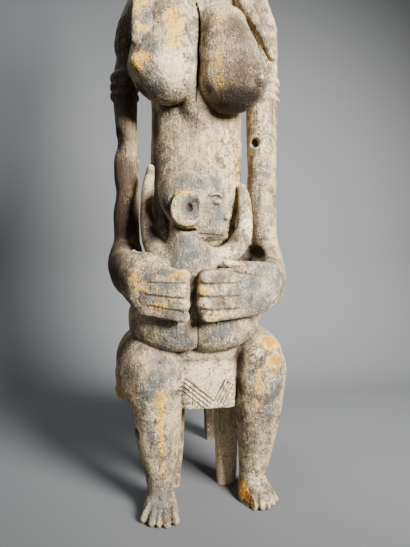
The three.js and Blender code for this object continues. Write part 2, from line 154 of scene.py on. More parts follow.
def gradient_length(values, step):
    """The length of the gradient: the root of the sum of the squared slopes along the axes."""
    parts = np.gradient(values, step)
    return np.sqrt(parts[0] ** 2 + parts[1] ** 2 + parts[2] ** 2)


def stack(block, axis, rows, low_cap=0.0, high_cap=0.0, squareness=2.0, reach=14.0):
    """A form stacked along an axis, from rows of position, middle and half sizes on the other two.
    Its measure is how far a point is out from the section's middle, in half sizes, to the power
    that squares the corners, and in a rounded end also how far into that end it is. The measure
    less one, over the length of its gradient, is the distance."""
    a = "xyz".index(axis)
    others = [b for b in range(3) if b != a]
    rows = np.array(rows, np.float64)
    low, high = np.zeros(3), np.zeros(3)
    low[a], high[a] = rows[0, 0] - reach, rows[-1, 0] + reach
    for column, b in enumerate(others):
        low[b] = (rows[:, 1 + column] - rows[:, 3 + column]).min() - reach
        high[b] = (rows[:, 1 + column] + rows[:, 3 + column]).max() + reach
    slices, coordinates = block.window(low, high)
    along = coordinates[a].ravel().astype(np.float64)
    section = smooth_rows(rows, along)
    shape = [1, 1, 1]
    shape[a] = len(along)
    total = 0
    for column, b in enumerate(others):
        middle = section[:, 1 + column].reshape(shape).astype(np.float32)
        half = section[:, 3 + column].reshape(shape).astype(np.float32)
        out = np.abs(coordinates[b] - middle) / half
        total = total + (out * out if squareness == 2 else out ** np.float32(squareness))
    level = total if squareness == 2 else total ** np.float32(2 / squareness)
    into_end = np.zeros(len(along))
    if low_cap:
        into_end += np.clip((rows[0, 0] + low_cap - along) / low_cap, 0, None)
    if high_cap:
        into_end += np.clip((along - rows[-1, 0] + high_cap) / high_cap, 0, None)
    measure = np.sqrt(level + (into_end ** 2).reshape(shape).astype(np.float32))
    slope = np.maximum(gradient_length(measure, block.step), LEAST_SLOPE / rows[:, 3:].max())
    distance = (measure - 1) / slope
    beyond = np.full(len(along), -FAR)
    if not low_cap:
        beyond = np.maximum(beyond, rows[0, 0] - along)
    if not high_cap:
        beyond = np.maximum(beyond, along - rows[-1, 0])
    return slices, np.maximum(distance, beyond.reshape(shape).astype(np.float32))


def limb(block, rows, upright="z", squareness=2.0, reach=12.0, spacing=4.0):
    """A form along a smooth path, from rows of x, y, z, half size upright to the path and half size
    level with it. The path is cut into short straight lengths. The measure at a point is its
    offset from the nearest place on the length, in half sizes, to the power that squares the
    section's corners. The measure less one, over its gradient, is the distance, and the smallest
    over all lengths counts."""
    rows = np.array(rows, np.float64)
    table = np.column_stack([np.arange(len(rows)), rows])
    length = np.linalg.norm(np.diff(rows[:, :3], axis=0), axis=1).sum()
    samples = max(3, int(length / spacing) + 1)
    path = smooth_rows(table, np.linspace(0, len(rows) - 1, samples))[:, 1:]
    widest = path[:, 3:].max(axis=1, keepdims=True)
    low = (path[:, :3] - widest).min(axis=0) - reach
    high = (path[:, :3] + widest).max(axis=0) + reach
    slices, coordinates = block.window(low, high)
    field = np.full(tuple(c.size for c in coordinates), FAR, np.float32)
    up = np.eye(3)["xyz".index(upright)]
    corner = [c.ravel()[0] for c in coordinates]
    for start, end in zip(path[:-1], path[1:]):
        near = max(start[3:].max(), end[3:].max()) + reach
        box_low = np.minimum(start[:3], end[:3]) - near
        box_high = np.maximum(start[:3], end[:3]) + near
        part = []
        for a in range(3):
            size = field.shape[a]
            first = int(np.clip((box_low[a] - corner[a]) / block.step, 0, size - 1))
            last = int(np.clip((box_high[a] - corner[a]) / block.step + 1, first + 1, size))
            part.append(slice(first, last))
        part = tuple(part)
        x, y, z = (coordinates[a][tuple(part[b] if b == a else slice(None) for b in range(3))]
                   - np.float32(start[a]) for a in range(3))
        run = end[:3] - start[:3]
        run_length = np.linalg.norm(run)
        forward = run / run_length
        lean = up - forward * forward.dot(up)
        lean /= np.linalg.norm(lean)
        side = np.cross(forward, lean)
        ahead = x * forward[0] + y * forward[1] + z * forward[2]
        t = np.clip(ahead / run_length, 0, 1)
        ahead = ahead - t * run_length
        tall = start[3] + t * (end[3] - start[3])
        wide = start[4] + t * (end[4] - start[4])
        blunt = np.minimum(tall, wide)
        upward = x * lean[0] + y * lean[1] + z * lean[2]
        sideways = x * side[0] + y * side[1] + z * side[2]
        u, v, w = np.abs(upward / tall), np.abs(sideways / wide), ahead / blunt
        power = np.float32(squareness)
        round_section = (u ** power + v ** power + TINY) ** (1 / power)
        measure = np.sqrt(round_section ** 2 + w ** 2)
        slope = round_section ** (2 - power)
        steep = (slope * u ** (power - 1) / tall) ** 2 + (slope * v ** (power - 1) / wide) ** 2
        steep = np.sqrt(steep + (w / blunt) ** 2 + TINY) / measure
        distance = (measure - 1) / np.maximum(steep, LEAST_SLOPE / np.maximum(tall, wide))
        field[part] = np.minimum(field[part], distance.astype(np.float32))
    return slices, field


def ball(block, x, y, z, half_x, half_y, half_z, reach=12.0):
    """An oval ball. Its distance is the offset in half sizes, less one, over its gradient."""
    middle = np.array([x, y, z])
    half = np.array([half_x, half_y, half_z])
    slices, coordinates = block.window(middle - half - reach, middle + half + reach)
    out = [(c - np.float32(m)) / np.float32(h) for c, m, h in zip(coordinates, middle, half)]
    level = out[0] ** 2 + out[1] ** 2 + out[2] ** 2
    steep = (out[0] / half_x) ** 2 + (out[1] / half_y) ** 2 + (out[2] / half_z) ** 2
    return slices, ((level - np.sqrt(level)) / np.sqrt(steep + TINY)).astype(np.float32)


def half_space(block, point, outward, low, high):
    """Everything on the outward side of a plane, within a box."""
    slices, coordinates = block.window(low, high)
    outward = np.array(outward, float) / np.linalg.norm(outward)
    distance = sum((c - np.float32(p)) * np.float32(n)
                   for c, p, n in zip(coordinates, point, outward))
    return slices, -distance


# Mother


def carve_trunk(block):
    """The trunk from seat to crown, stacked up Z, and a ball for each buttock."""
    block.add(stack(block, "z", [
        [150, 0, 12, 74, 60], [185, 0, 16, 82, 66], [215, 0, 14, 80, 63], [250, 0, 8, 72, 58],
        [300, 0, 3, 65, 55], [360, 1, 0, 62, 54], [450, 1, 0, 62.5, 53], [530, 1, 0, 62, 52],
        [590, 1, 2, 67, 50], [640, 0, 4, 70, 45], [675, 0, 6, 58, 40], [702, 0, 6, 42, 36],
        [730, 0, 4, 35, 34], [765, 0, 2, 33, 33], [810, 0, 0, 35, 36]]), 0)
    for side in (-1, 1):
        block.add(ball(block, 36 * side, 50, 205, 44, 42, 44), 10)


def carve_shoulders(block):
    """One limb from shoulder to shoulder."""
    block.add(limb(block, [
        [-93, 1, 604, 15, 21], [-83, 2, 641, 17, 24], [-52, 4, 664, 29, 30], [0, 5, 674, 33, 32],
        [52, 4, 664, 29, 30], [88, 2, 642, 23, 24], [95, 1, 604, 20, 22]]), 14)


def carve_breasts(block):
    """A ridge between the breasts, the breasts stacked up Z, the nipples and the crack."""
    block.add(ball(block, -2, -44, 562, 27, 31, 84), 8)
    block.add(stack(block, "z", [
        [508, -41.5, -62, 39, 34], [530, -43, -63, 41, 38], [555, -45.5, -62, 43, 39],
        [580, -43, -58, 40, 36], [610, -36, -51, 34, 31], [640, -31, -45, 29, 26],
        [664, -28, -38, 26, 21]], low_cap=40, high_cap=16, squareness=2.15), 3)
    block.add(stack(block, "z", [
        [501, 40, -62, 43, 34], [530, 41, -63, 43.5, 39], [555, 39, -62, 41.5, 39],
        [575, 36, -60, 38, 37], [592, 33, -58, 34, 34], [612, 29, -54, 30, 30],
        [637, 27, -48, 27, 24]], low_cap=37, high_cap=22, squareness=2.4), 1.5)
    block.add(ball(block, -74, -86, 547, 9, 9, 9), 8)
    block.add(ball(block, 73, -85, 536, 9, 9, 9), 7)
    block.add(ball(block, 68, -93, 531, 7, 7, 7), 3)
    block.add(ball(block, 69, -99, 531, 3.2, 4, 3.2), 1.5)
    block.add(ball(block, -79, -91, 549, 4, 4, 4.5), 3)
    block.cut(limb(block, [
        [-6, -80, 510, 0.7, 9], [-5.4, -82, 524, 1.3, 12], [-3.2, -82, 531, 1.8, 13],
        [-4.2, -82, 540, 1.2, 13], [-2.6, -82, 556, 1.6, 13], [-3.2, -80, 574, 1.3, 13],
        [-1.2, -78, 591, 1.5, 13], [-1.6, -72, 622, 1.2, 12], [-4.5, -64, 640, 1.1, 12],
        [-7, -50, 664, 0.8, 10]], upright="x"), 0.4)


def carve_arms(block):
    """The arms, stacked up Z, with three shallow hollows worn into the outer side."""
    block.add(stack(block, "z", [
        [282, -93, -26, 17, 20], [300, -94, -20, 19, 23], [318, -94.5, -15, 18.5, 24],
        [345, -94, -9, 16.5, 21], [370, -95, -6, 17, 20], [385, -94.5, -5, 16.5, 19],
        [400, -93, -4, 15.3, 19], [411, -92.8, -3, 15, 19], [425, -94, -3, 15.8, 19],
        [445, -95, -2, 16.5, 19], [455, -94, -2, 16, 19], [472, -92.5, -2, 13.3, 18],
        [488, -94, -2, 13.5, 19], [505, -94.5, -1, 14.5, 20], [527, -95.5, -1, 15.5, 20],
        [567, -94.5, 0, 15.5, 20], [585, -93.5, 0, 13.7, 20], [600, -94, 0, 15, 20],
        [616, -92, 0, 15.5, 20], [640, -85, 0, 17, 22]], low_cap=22, high_cap=8), 3)
    block.add(stack(block, "z", [
        [252, 92, -33, 18, 22], [278, 96, -25, 21, 25], [302, 98, -18, 20, 25],
        [325, 97.5, -13, 18, 23], [345, 95.5, -9, 17.5, 22], [385, 93, -5, 19, 21],
        [450, 93, -2, 20, 21], [530, 93, 0, 21, 22], [600, 92, 0, 21, 22], [645, 86, 0, 19, 22]],
        low_cap=22, high_cap=8), 3)
    block.cut(ball(block, -106, -15, 476, 7.5, 12, 15), 1)
    block.cut(ball(block, -112, -8, 614.5, 6, 16, 3), 1.5)
    block.cut(ball(block, -112, -8, 590, 6.5, 16, 5.5), 1.5)


def carve_armlets(block):
    """Three rings round each upper arm, stacked one above the other and proud of the arm."""
    lowest, pitch, height, proud, rounding = 530, 12, 11.8, 3, 3.6
    for x, half_x, half_y in ((-96, 16.5, 20.5), (93.5, 21, 22)):
        for low in range(lowest, lowest + 3 * pitch, pitch):
            section = [x, 0, half_x + proud, half_y + proud]
            block.add(stack(block, "z", [
                [low, *section], [low + height, *section]], low_cap=rounding, high_cap=rounding), 1)


def carve_forearms(block):
    """The forearms, the web of wood in one elbow, and the ring line on one wrist."""
    block.add(limb(block, [
        [-95, -16, 316, 24, 20], [-98, -46, 314.5, 24, 17.5], [-94, -80, 307, 24.5, 16],
        [-80, -106, 295, 27, 12], [-57, -118, 287, 33, 9]]), 14)
    block.add(limb(block, [
        [-94, -42, 300, 20, 17], [-92, -60, 293, 20, 16], [-86, -76, 289, 18, 14]]), 8)
    block.add(limb(block, [
        [94.5, -26, 299, 30, 19], [92.5, -54, 294, 28, 17.5], [84, -84, 287, 29, 15.5],
        [64, -104, 283, 31, 12], [42, -113, 280, 31, 9]]), 22)
    block.add(limb(block, [[56, 0, 323, 14, 16], [88, 0, 323, 14, 16]]), 4)
    block.add(limb(block, [
        [-80, -104, 328, 1.8, 1.8], [-88, -104.5, 322, 1.9, 1.9], [-95, -101.5, 313, 1.9, 1.9],
        [-97.5, -98.4, 303, 1.9, 1.9], [-96.5, -98, 292, 1.9, 1.9], [-93, -98, 284, 1.6, 1.6]],
        upright="y"), 1)


def carve_fingers(block, knuckle, middle, tip, squareness, fingers):
    """Fingers side by side through three places. A row gives a finger's height and half height at
    its knuckle and at its tip, and how far the tip lies beyond the common place."""
    for height, half, tip_height, tip_half, beyond in fingers:
        block.add(limb(block, [
            [*knuckle, height, half, 8],
            [*middle, 0.5 * (height + tip_height), 0.5 * (half + tip_half), 8],
            [tip[0] + beyond, tip[1], tip_height, tip_half, 7.6]], squareness=squareness), 0.5)


def carve_hands(block):
    """Each hand is a flat slab with four fingers standing a little proud of it, and a thumb."""
    block.add(limb(block, [
        [-71, -110, 290, 29, 10], [-58, -116, 285, 30.5, 9.5], [-42, -122, 279, 30, 9],
        [-25, -125, 277.5, 29, 8.5]], squareness=3), 4)
    block.add(limb(block, [
        [60, -103, 284, 31, 12], [44, -110, 282, 31, 10], [22, -119, 278, 30, 9],
        [-1, -123, 277.5, 29, 8.5]], squareness=3), 4)
    carve_fingers(block, (-70, -110), (-48, -120.5), (-24.5, -128), 2.6, [
        (300.5, 7.2, 299.4, 7.8, 0), (285.6, 8, 283.3, 8.4, 0), (271.3, 6.6, 267.4, 7.6, 0),
        (259.5, 5.6, 253.8, 6.6, 0)])
    carve_fingers(block, (44, -109), (24, -119.5), (-1.2, -128), 2.5, [
        (298, 7.4, 298.2, 7.8, 1.5), (283, 7.3, 283, 7.4, -1), (269.2, 6.8, 268.8, 7, -1.5),
        (255.7, 6.4, 254.4, 7, 3)])
    block.cut(limb(block, [
        [-15, -122, 300, 5, 3], [-17, -122, 280, 5, 3], [-14, -122, 262, 5, 4],
        [-10, -121, 249, 4, 5]], upright="y"), 2)
    block.add(limb(block, [[64, -98, 306, 9, 9], [46, -108, 309, 7, 7], [36, -113, 309, 5, 5]]), 3)
    block.cut(limb(block, [
        [20, -119, 311, 4, 4], [26, -119, 306.5, 2.5, 3], [48, -117, 303, 1, 1]]), 1)
    block.add(limb(block, [[44, -115.5, 311.5, 3.4, 4], [24, -120.5, 314, 3.6, 4.6]]), 0.8)
    block.add(limb(block, [
        [-82, -98, 318, 9, 9], [-64, -108, 318, 8, 8], [-46, -114, 312, 7, 7]]), 5)


def carve_legs(block):
    """The thighs, stacked along Y, and the shins, stacked up Z."""
    block.add(stack(block, "y", [
        [-106, -60, 176, 35, 38], [-90, -61, 178, 38, 42], [-66, -62, 181, 43, 45],
        [-35, -62, 185, 45, 45], [0, -57, 188, 45, 43], [40, -46, 190, 36, 36]],
        low_cap=26, high_cap=10, squareness=2.4), 4)
    block.add(stack(block, "y", [
        [-98, 76, 176, 30, 38], [-84, 76, 178, 31.5, 42], [-60, 76, 181, 33, 44],
        [-30, 71, 185, 35, 44], [0, 60, 188, 40, 42], [40, 46, 190, 36, 36]],
        low_cap=26, high_cap=10, squareness=2.2), 4)
    block.add(stack(block, "z", [
        [4, -51, -65, 14, 15], [26, -51, -66, 15.5, 16], [45, -51, -66, 19, 20],
        [70, -52, -66, 24, 24], [100, -54, -66, 28.5, 27], [140, -56, -68, 32, 31],
        [180, -60, -70, 36, 33], [212, -60, -68, 32, 30]], high_cap=16), 8)
    block.add(stack(block, "z", [
        [4, 73, -44, 16, 14], [24, 72, -45, 17, 16], [50, 74, -47, 20.5, 20],
        [77, 76, -51, 24.5, 24], [110, 77, -55, 29, 28], [150, 77, -60, 32.5, 32],
        [175, 77, -61, 33, 33], [195, 75, -62, 29, 32], [214, 72, -60, 26, 30]], high_cap=16), 6)
    block.cut(ball(block, 128, -66, 204, 26, 70, 20), 3)


def carve_foot(block, rows, toe_root, toes):
    """A foot along Y, with long toes that fan out of its slope. A row of toes gives the tip's x
    and y and the half width. The toe starts nearer the foot's middle than its tip lies."""
    block.add(stack(block, "y", rows, low_cap=6, high_cap=9), 8)
    middle = rows[1][1]
    for x, y, half in toes:
        block.add(limb(block, [
            [middle + 0.66 * (x - middle), toe_root, 14, 5, half],
            [middle + 0.88 * (x - middle), 0.45 * toe_root + 0.55 * y, 9.5, 6.5, half],
            [x, y + half, 5.2, 5.6, half]]), 1.2)


def carve_feet(block):
    """Both feet, each with its toes: a toe's tip and half width."""
    carve_foot(block, [[-98, -51, 5, 20, 8], [-88, -51, 6, 21.5, 12], [-72, -51, 8, 20.5, 20],
                       [-55, -51, 9, 17.5, 20], [-38, -51, 9, 14, 14]], -82,
               [(-70, -98, 4.3), (-61, -107, 4.9), (-53, -110, 3.8), (-43.5, -111.5, 5.2),
                (-33, -107, 4.9)])
    carve_foot(block, [[-78, 74, 4.5, 20, 7], [-68, 75, 6, 24, 12], [-54, 75, 8, 22.5, 18.5],
                       [-37, 74, 9, 18.5, 20], [-17, 73, 9, 14, 14]], -56,
               [(66.5, -87, 6), (77, -88, 4.4), (84.5, -86, 4.2), (91.5, -81, 4), (97, -74, 3.8)])


APRON_LINES = [    # x, z, end x, end z
    (-20, 171, 15.5, 141), (-21, 165.5, 11.5, 136.5), (-21.5, 159.5, 3, 136),
    (-21.5, 154, -3.5, 135), (15.5, 141, 28.5, 168), (19.5, 139.5, 32.5, 165),
    (23.5, 138.5, 36.5, 161.5), (28, 137.5, 39, 156.5), (-11, 156.5, -11.3, 135.5)]


def carve_apron(block):
    """The lap with its rim, and the flat cloth that hangs from it, with its incised lines."""
    block.add(stack(block, "z", [
        [129.5, 9, -53, 35, 25], [150, 9, -55.5, 36, 26], [172, 9, -57, 37, 27],
        [184, 8.5, -57, 38, 27], [192, 7, -56.5, 40, 26], [198, 6, -58, 42, 28],
        [206, 5, -59, 44, 30], [215, 4, -58, 46, 29]], high_cap=4, low_cap=2.5, squareness=5), 2)
    for x, z, end_x, end_z in APRON_LINES:
        middle = [0.5 * (x + end_x), -82.6, 0.5 * (z + end_z), 1, 2.2]
        block.cut(limb(block, [
            [x, -83.5, z, 0.9, 2.2], middle, [end_x, -81, end_z, 0.9, 2.2]], spacing=8), 0.3)


def carve_stool(block):
    """The seat and four square legs, which lean a little."""
    block.add(stack(block, "z", [
        [124, 0, 57, 114, 109], [172, 0, 57, 114, 109]], low_cap=7, high_cap=7, squareness=4), 2)
    for x, lean in ((-36, 3), (43, 0)):
        for y in (-4, 148):
            block.add(stack(block, "z", [
                [0, x, y, 13.4, 12.6], [62, x + 0.6 * lean, y, 16, 14.6],
                [148, x + lean, y, 18, 16.1]], squareness=3.2), 5)


# Child


def carve_child_body(block):
    """Trunk, thighs that part round the mother's trunk, and arms up to her flanks."""
    block.add(stack(block, "z", [
        [226, -7, -74, 26, 22], [245, -7, -80, 36, 28], [275, -8, -88, 43, 31],
        [305, -11, -90, 41, 29], [324, -15, -91, 34, 25], [338, -18, -92, 24, 21],
        [360, -15, -92, 23, 21]], low_cap=10), 0)
    block.add(limb(block, [
        [-22, -84, 237, 31, 28], [-38, -83, 237, 31, 28], [-56, -76, 238, 27, 25],
        [-71, -62, 240, 21, 18], [-77, -32, 248, 16, 13], [-75, 4, 254, 12, 12]],
        squareness=2.3), 4)
    block.add(limb(block, [
        [8, -84, 236, 31, 28], [24, -83, 236.5, 31, 28], [42, -76, 240, 27, 26],
        [58, -60, 245, 21, 20], [70, -34, 250, 15, 14], [73, 2, 252, 12, 12]], squareness=2.3), 3)
    block.cut(limb(block, [
        [-6.5, -113, 210, 0.9, 5], [-6.8, -114, 228, 0.9, 5], [-7, -112, 248, 0.8, 4]],
        upright="x"), 2.5)
    block.add(limb(block, [
        [-40, -88, 318, 14, 13], [-55, -79, 331, 14, 13.5], [-62.5, -70, 350, 12.5, 11.2],
        [-66.5, -60, 372, 10.7, 8.2], [-65.5, -50, 399, 8.8, 7.9], [-63, -43, 420, 7.8, 6.8],
        [-61.5, -38, 434, 6, 5]], upright="y"), 8)
    block.add(limb(block, [
        [12, -90, 316, 14, 13], [34, -86, 325, 13, 13], [49, -74, 341, 12.5, 12],
        [57, -62, 359, 10, 10.5], [59.5, -50, 380, 7.5, 9], [60, -42, 399, 5.5, 7.5],
        [58, -36, 412, 4.5, 6]], upright="y"), 8)


def carve_child_head(block):
    """The head in profile: skull, lips, nose and jaw, then the large round ear."""
    block.add(stack(block, "z", [
        [338, 0, -93, 24, 17], [350, 0, -93, 29, 22], [362, -3.5, -93, 34.5, 26],
        [376, -8.5, -93, 38.5, 29], [390, -11.5, -93, 38.5, 30], [404, -13, -93, 36.5, 28],
        [423, -15, -93, 33, 26]], low_cap=7, high_cap=17), 3)
    block.add(limb(block, [[25, -93, 384, 4.5, 4], [30, -93, 370, 5, 5.5]], upright="y"), 3)
    block.add(ball(block, 26.5, -93, 357.5, 6.5, 10, 2.8), 1.5)
    block.add(ball(block, 26, -93, 352.5, 6.5, 10, 2.8), 1.5)
    block.add(ball(block, 22.5, -93, 346, 9, 9, 6), 3)
    block.add(ball(block, 26, -109, 367, 4.5, 5, 3.6), 2)
    block.cut(limb(block, [
        [17, -116.5, 355.2, 0.7, 1.5], [26, -111, 355, 0.9, 2], [34, -97, 355.2, 1, 3]]), 0.5)
    block.cut(limb(block, [
        [-36, -118, 389.5, 4, 1.5], [-40.5, -114, 381, 5.5, 2.2], [-41.2, -111, 371, 7, 2.6],
        [-37.5, -109, 361.5, 7, 2.6], [-30, -108, 354, 7, 2.4], [-20, -110, 351, 5, 2],
        [-10, -113, 352, 3, 1.2]], upright="y"), 0.8)
    block.add(stack(block, "y", [
        [-127, -20.5, 374.5, 17.6, 19], [-124, -20.5, 374.5, 18.4, 19.8],
        [-106, -20.5, 374.5, 16, 17]], low_cap=3.2), 0.5)
    block.cut(stack(block, "y", [
        [-140, -16.5, 375, 15.6, 17], [-128.6, -16.5, 375, 14.7, 16.2],
        [-118.6, -16, 374.5, 6.5, 8.5]], high_cap=2.5), 0.4)
    block.cut(ball(block, 1.5, -131.5, 374, 14, 11.5, 16), 1.2)
    block.cut(ball(block, -17.5, -119.5, 376, 3.8, 4.5, 5.5), 1.2)
    block.cut(limb(block, [
        [-1.2, -123, 383, 0.8, 3], [-1.6, -123, 370, 1.3, 4], [-3, -121.5, 358, 0.8, 3]],
        upright="x"), 0.8)
    block.add(ball(block, 14, -117, 383.5, 6, 4.5, 3.6), 1.2)
    block.add(limb(block, [
        [6, -121.5, 390.5, 1.8, 2], [14, -118.5, 392.5, 2, 2.4], [21, -112, 390, 1.6, 2]]), 2)


# Mother's head, in plain general proportions


def carve_mother_head(block):
    """Skull, crest, nose, mouth, brows, eyes and ears."""
    block.add(stack(block, "z", [
        [774, 0, -24, 22, 20], [790, 0, -16, 32, 34], [815, 0, -8, 41, 49], [845, 0, -2, 46, 57],
        [880, 0, 2, 46, 58], [905, 0, 4, 43, 54], [938, 0, 6, 38, 48]], low_cap=12, high_cap=26), 5)
    block.add(stack(block, "z", [
        [860, 0, 6, 13, 62], [900, 0, 6, 13, 62], [950, 0, 8, 11, 56], [1000, 0, 12, 9, 50]],
        low_cap=20, high_cap=46), 3)
    block.add(limb(block, [
        [0, -52, 868, 4, 4], [0, -58, 850, 5, 6], [0, -62, 832, 7, 8.5]], upright="y"), 4)
    block.add(ball(block, 0, -50, 806, 13, 8, 5), 2)
    for side in (-1, 1):
        block.add(ball(block, 18 * side, -49, 853, 11, 6, 5.5), 1.5)
        block.add(limb(block, [
            [6 * side, -54, 866, 4, 4], [20 * side, -51, 870, 4, 4],
            [34 * side, -40, 864, 4, 4]]), 3)
        block.add(limb(block, [
            [45 * side, -2, 862, 5, 5], [49 * side, 8, 858, 5, 5], [48 * side, 11, 844, 5, 5],
            [44 * side, 2, 832, 5, 5]]), 2)


def carve_tresses(block):
    """A tress in front of each shoulder, one with a split."""
    block.add(limb(block, [
        [-40, 18, 850, 11, 9], [-47, 18, 800, 11, 9], [-48, 6, 745, 12, 10],
        [-56, -16, 702, 13, 10], [-63, -45, 664, 13.5, 10], [-68, -68, 626, 13, 10],
        [-70, -80, 596, 12.5, 9.5], [-71.5, -84, 572, 11.5, 7]], upright="x", squareness=4), 0.6)
    block.add(limb(block, [
        [40, 18, 850, 11, 9], [47, 18, 800, 11, 9], [49, 6, 745, 13, 10], [56, -10, 702, 17, 11],
        [66, -26, 668, 20, 11], [74, -36, 643, 19.5, 11], [83, -44, 618, 14.5, 10],
        [89.5, -49, 595, 9.5, 8], [94, -52, 577, 5.5, 5.5]], upright="x", squareness=3.6), 0.6)
    block.cut(limb(block, [
        [62, -40, 668, 1.4, 2], [71, -48.5, 643, 1.6, 2.2], [79.5, -55, 618, 1.5, 2.2],
        [88, -58, 595, 1, 1.8]], upright="x"), 0.8)


# Losses: the drilled hole, the breaks and the flat underside


FOOT_BREAK = ((52.5, -61, 2), (-0.83, -0.48, 0.28))    # a place on the break, outward direction
FOOT_BREAK_BOX = ((40, -112, 4), (66, -50, 28.5))      # where its face shows raw wood
FOOT_BREAK_STRENGTH = 0.56
DRILLED_HOLE = [[81, -60, 475.8, 6.6, 5.1], [81, 60, 475.8, 6.6, 5.1]]
SEAT_FLAKES = (0.5, 1, 0.7, 1.1, 0.5)                  # how far each flake of the edge reaches in
FLAKE_LENGTH = 16
UNDERSIDE = 14.0                                       # the height up to which the sole is cut flat


def cut_losses(block):
    """The hole through one arm, the flaked edge of the seat, the broken foot as what four planes
    have in common, the open elbow, a dent in one shin, four pits and the flat underside."""
    block.cut(limb(block, DRILLED_HOLE, reach=6, spacing=30), 0.5)
    for i, reach in enumerate(SEAT_FLAKES):
        height = 0.65 if i % 2 else 0.3
        block.cut(ball(block, -115 - 8 * reach, -52 + (i + 1.2) * FLAKE_LENGTH,
                       172 - 48 * (1 - height), 15 * reach, FLAKE_LENGTH, 24), 2)
    low, high = (30, -115, -6), (100, -22, 50)
    slices, slope = half_space(block, *FOOT_BREAK, low, high)
    for point, outward in (((73, -50, 22), (-0.99, 0.12, 0.06)),
                           ((64, -58, 31), (0.35, -0.15, -0.92)), ((58, -78, -5), (0, 0, 1))):
        slope = np.maximum(slope, half_space(block, point, outward, low, high)[1])
    block.cut((slices, slope), 0.5)
    block.cut(ball(block, 73, -47, 327, 15, 35, 13), 3)
    block.cut(ball(block, -79, -76, 103, 4.5, 7, 8), 1)
    for x, y, z, half in ((80, -94, 209, 1.6), (87, -97.5, 193, 1.8), (91, -96, 189, 1.2),
                          (84, -99, 189, 1)):
        block.cut(ball(block, x, y, z, half, 4, half), 0.4)
    block.cut(half_space(block, (0, 0, 0), (0, 0, -1), BLOCK_LOW, (*BLOCK_HIGH[:2], UNDERSIDE)), 0)


# From the block to a mesh


def surface_net(block):
    """The block's surface as points and quads. Each grid cell that the surface passes through has
    one point, at the mean of the places where the surface crosses the cell's twelve edges, and
    each grid edge that it crosses has a quad that joins the four cells round it."""
    field = block.field
    inside = field < 0
    shape = np.array(field.shape)
    cells = shape - 1
    some = np.zeros(tuple(cells), bool)
    every = np.ones(tuple(cells), bool)
    corners = [(i, j, k) for i in (0, 1) for j in (0, 1) for k in (0, 1)]
    for i, j, k in corners:
        part = inside[i:cells[0] + i, j:cells[1] + j, k:cells[2] + k]
        some |= part
        every &= part
    active = np.flatnonzero(some & ~every)
    number = np.full(int(np.prod(cells)), -1, np.int32)
    number[active] = np.arange(len(active), dtype=np.int32)
    number = number.reshape(tuple(cells))
    ci, cj, ck = np.unravel_index(active, tuple(cells))
    values = {c: field[ci + c[0], cj + c[1], ck + c[2]] for c in corners}
    total = np.zeros((len(active), 3))
    crossings = np.zeros(len(active))
    for start in corners:
        for axis in range(3):
            if start[axis]:
                continue
            end = tuple(1 if b == axis else start[b] for b in range(3))
            a, b = values[start], values[end]
            crossed = (a < 0) != (b < 0)
            t = np.where(crossed, a / np.where(crossed, a - b, 1), 0)
            place = np.array(start, float)[None, :].repeat(len(active), 0)
            place[:, axis] = t
            total += place * crossed[:, None]
            crossings += crossed
    points = block.low + block.step * (np.column_stack([ci, cj, ck]) + total / crossings[:, None])
    quads = []
    for axis in range(3):
        b, c = (axis + 1) % 3, (axis + 2) % 3
        first = [slice(1, -1)] * 3
        second = [slice(1, -1)] * 3
        first[axis], second[axis] = slice(None, -1), slice(1, None)
        lower = inside[tuple(first)]
        place = list(np.nonzero(lower != inside[tuple(second)]))
        outward = lower[tuple(place)]
        place[b] = place[b] + 1
        place[c] = place[c] + 1
        ring = []
        for shift_b, shift_c in ((1, 1), (0, 1), (0, 0), (1, 0)):
            cell = [p.copy() for p in place]
            cell[b] -= shift_b
            cell[c] -= shift_c
            ring.append(number[tuple(cell)])
        ring = np.column_stack(ring)
        ring[~outward] = ring[~outward][:, ::-1]
        quads.append(ring)
    return points, np.concatenate(quads)


def largest_shell(points, quads):
    """Keeps the one connected surface that has the most points. Every point takes the lowest
    number among its neighbours again and again, each time also jumping to that number's own."""
    label = np.arange(len(points))
    edges = np.concatenate([quads[:, [side, (side + 1) % 4]] for side in range(4)])
    while True:
        least = np.minimum(label[edges[:, 0]], label[edges[:, 1]])
        new = label.copy()
        np.minimum.at(new, edges[:, 0], least)
        np.minimum.at(new, edges[:, 1], least)
        new = new[new]
        if np.array_equal(new, label):
            break
        label = new
    keep = label == np.bincount(label).argmax()
    renumber = np.cumsum(keep) - 1
    return points[keep], renumber[quads[keep[quads[:, 0]]]]


def point_normals(points, faces):
    """The mean direction of the faces round each point, weighted by their area."""
    corners = points[faces]
    across = np.cross(corners[:, 2] - corners[:, 0], corners[:, -1] - corners[:, 1])
    normals = np.zeros_like(points)
    for a in range(3):
        for column in range(faces.shape[1]):
            normals[:, a] += np.bincount(faces[:, column], across[:, a], len(points))
    return normals / np.maximum(np.linalg.norm(normals, axis=1, keepdims=True), TINY)


class Noise:
    """Smooth noise: random numbers on a repeating lattice, blended between lattice points by the
    curve 3t^2 - 2t^3, so that a value at a point lies between -1 and 1."""

    def __init__(self, seed, size=64):
        random = np.random.default_rng(seed)
        self.lattice = random.uniform(-1, 1, (size, size, size)).astype(np.float32)

    def at(self, points, size, stretch):
        """The noise at points, with bumps of a size in mm, drawn out by the stretch."""
        place = points / (size * np.array(stretch))
        cell = np.floor(place).astype(np.int64)
        t = place - cell
        return blend_corners(self.lattice, cell, (t * t * (3 - 2 * t)).astype(np.float32))


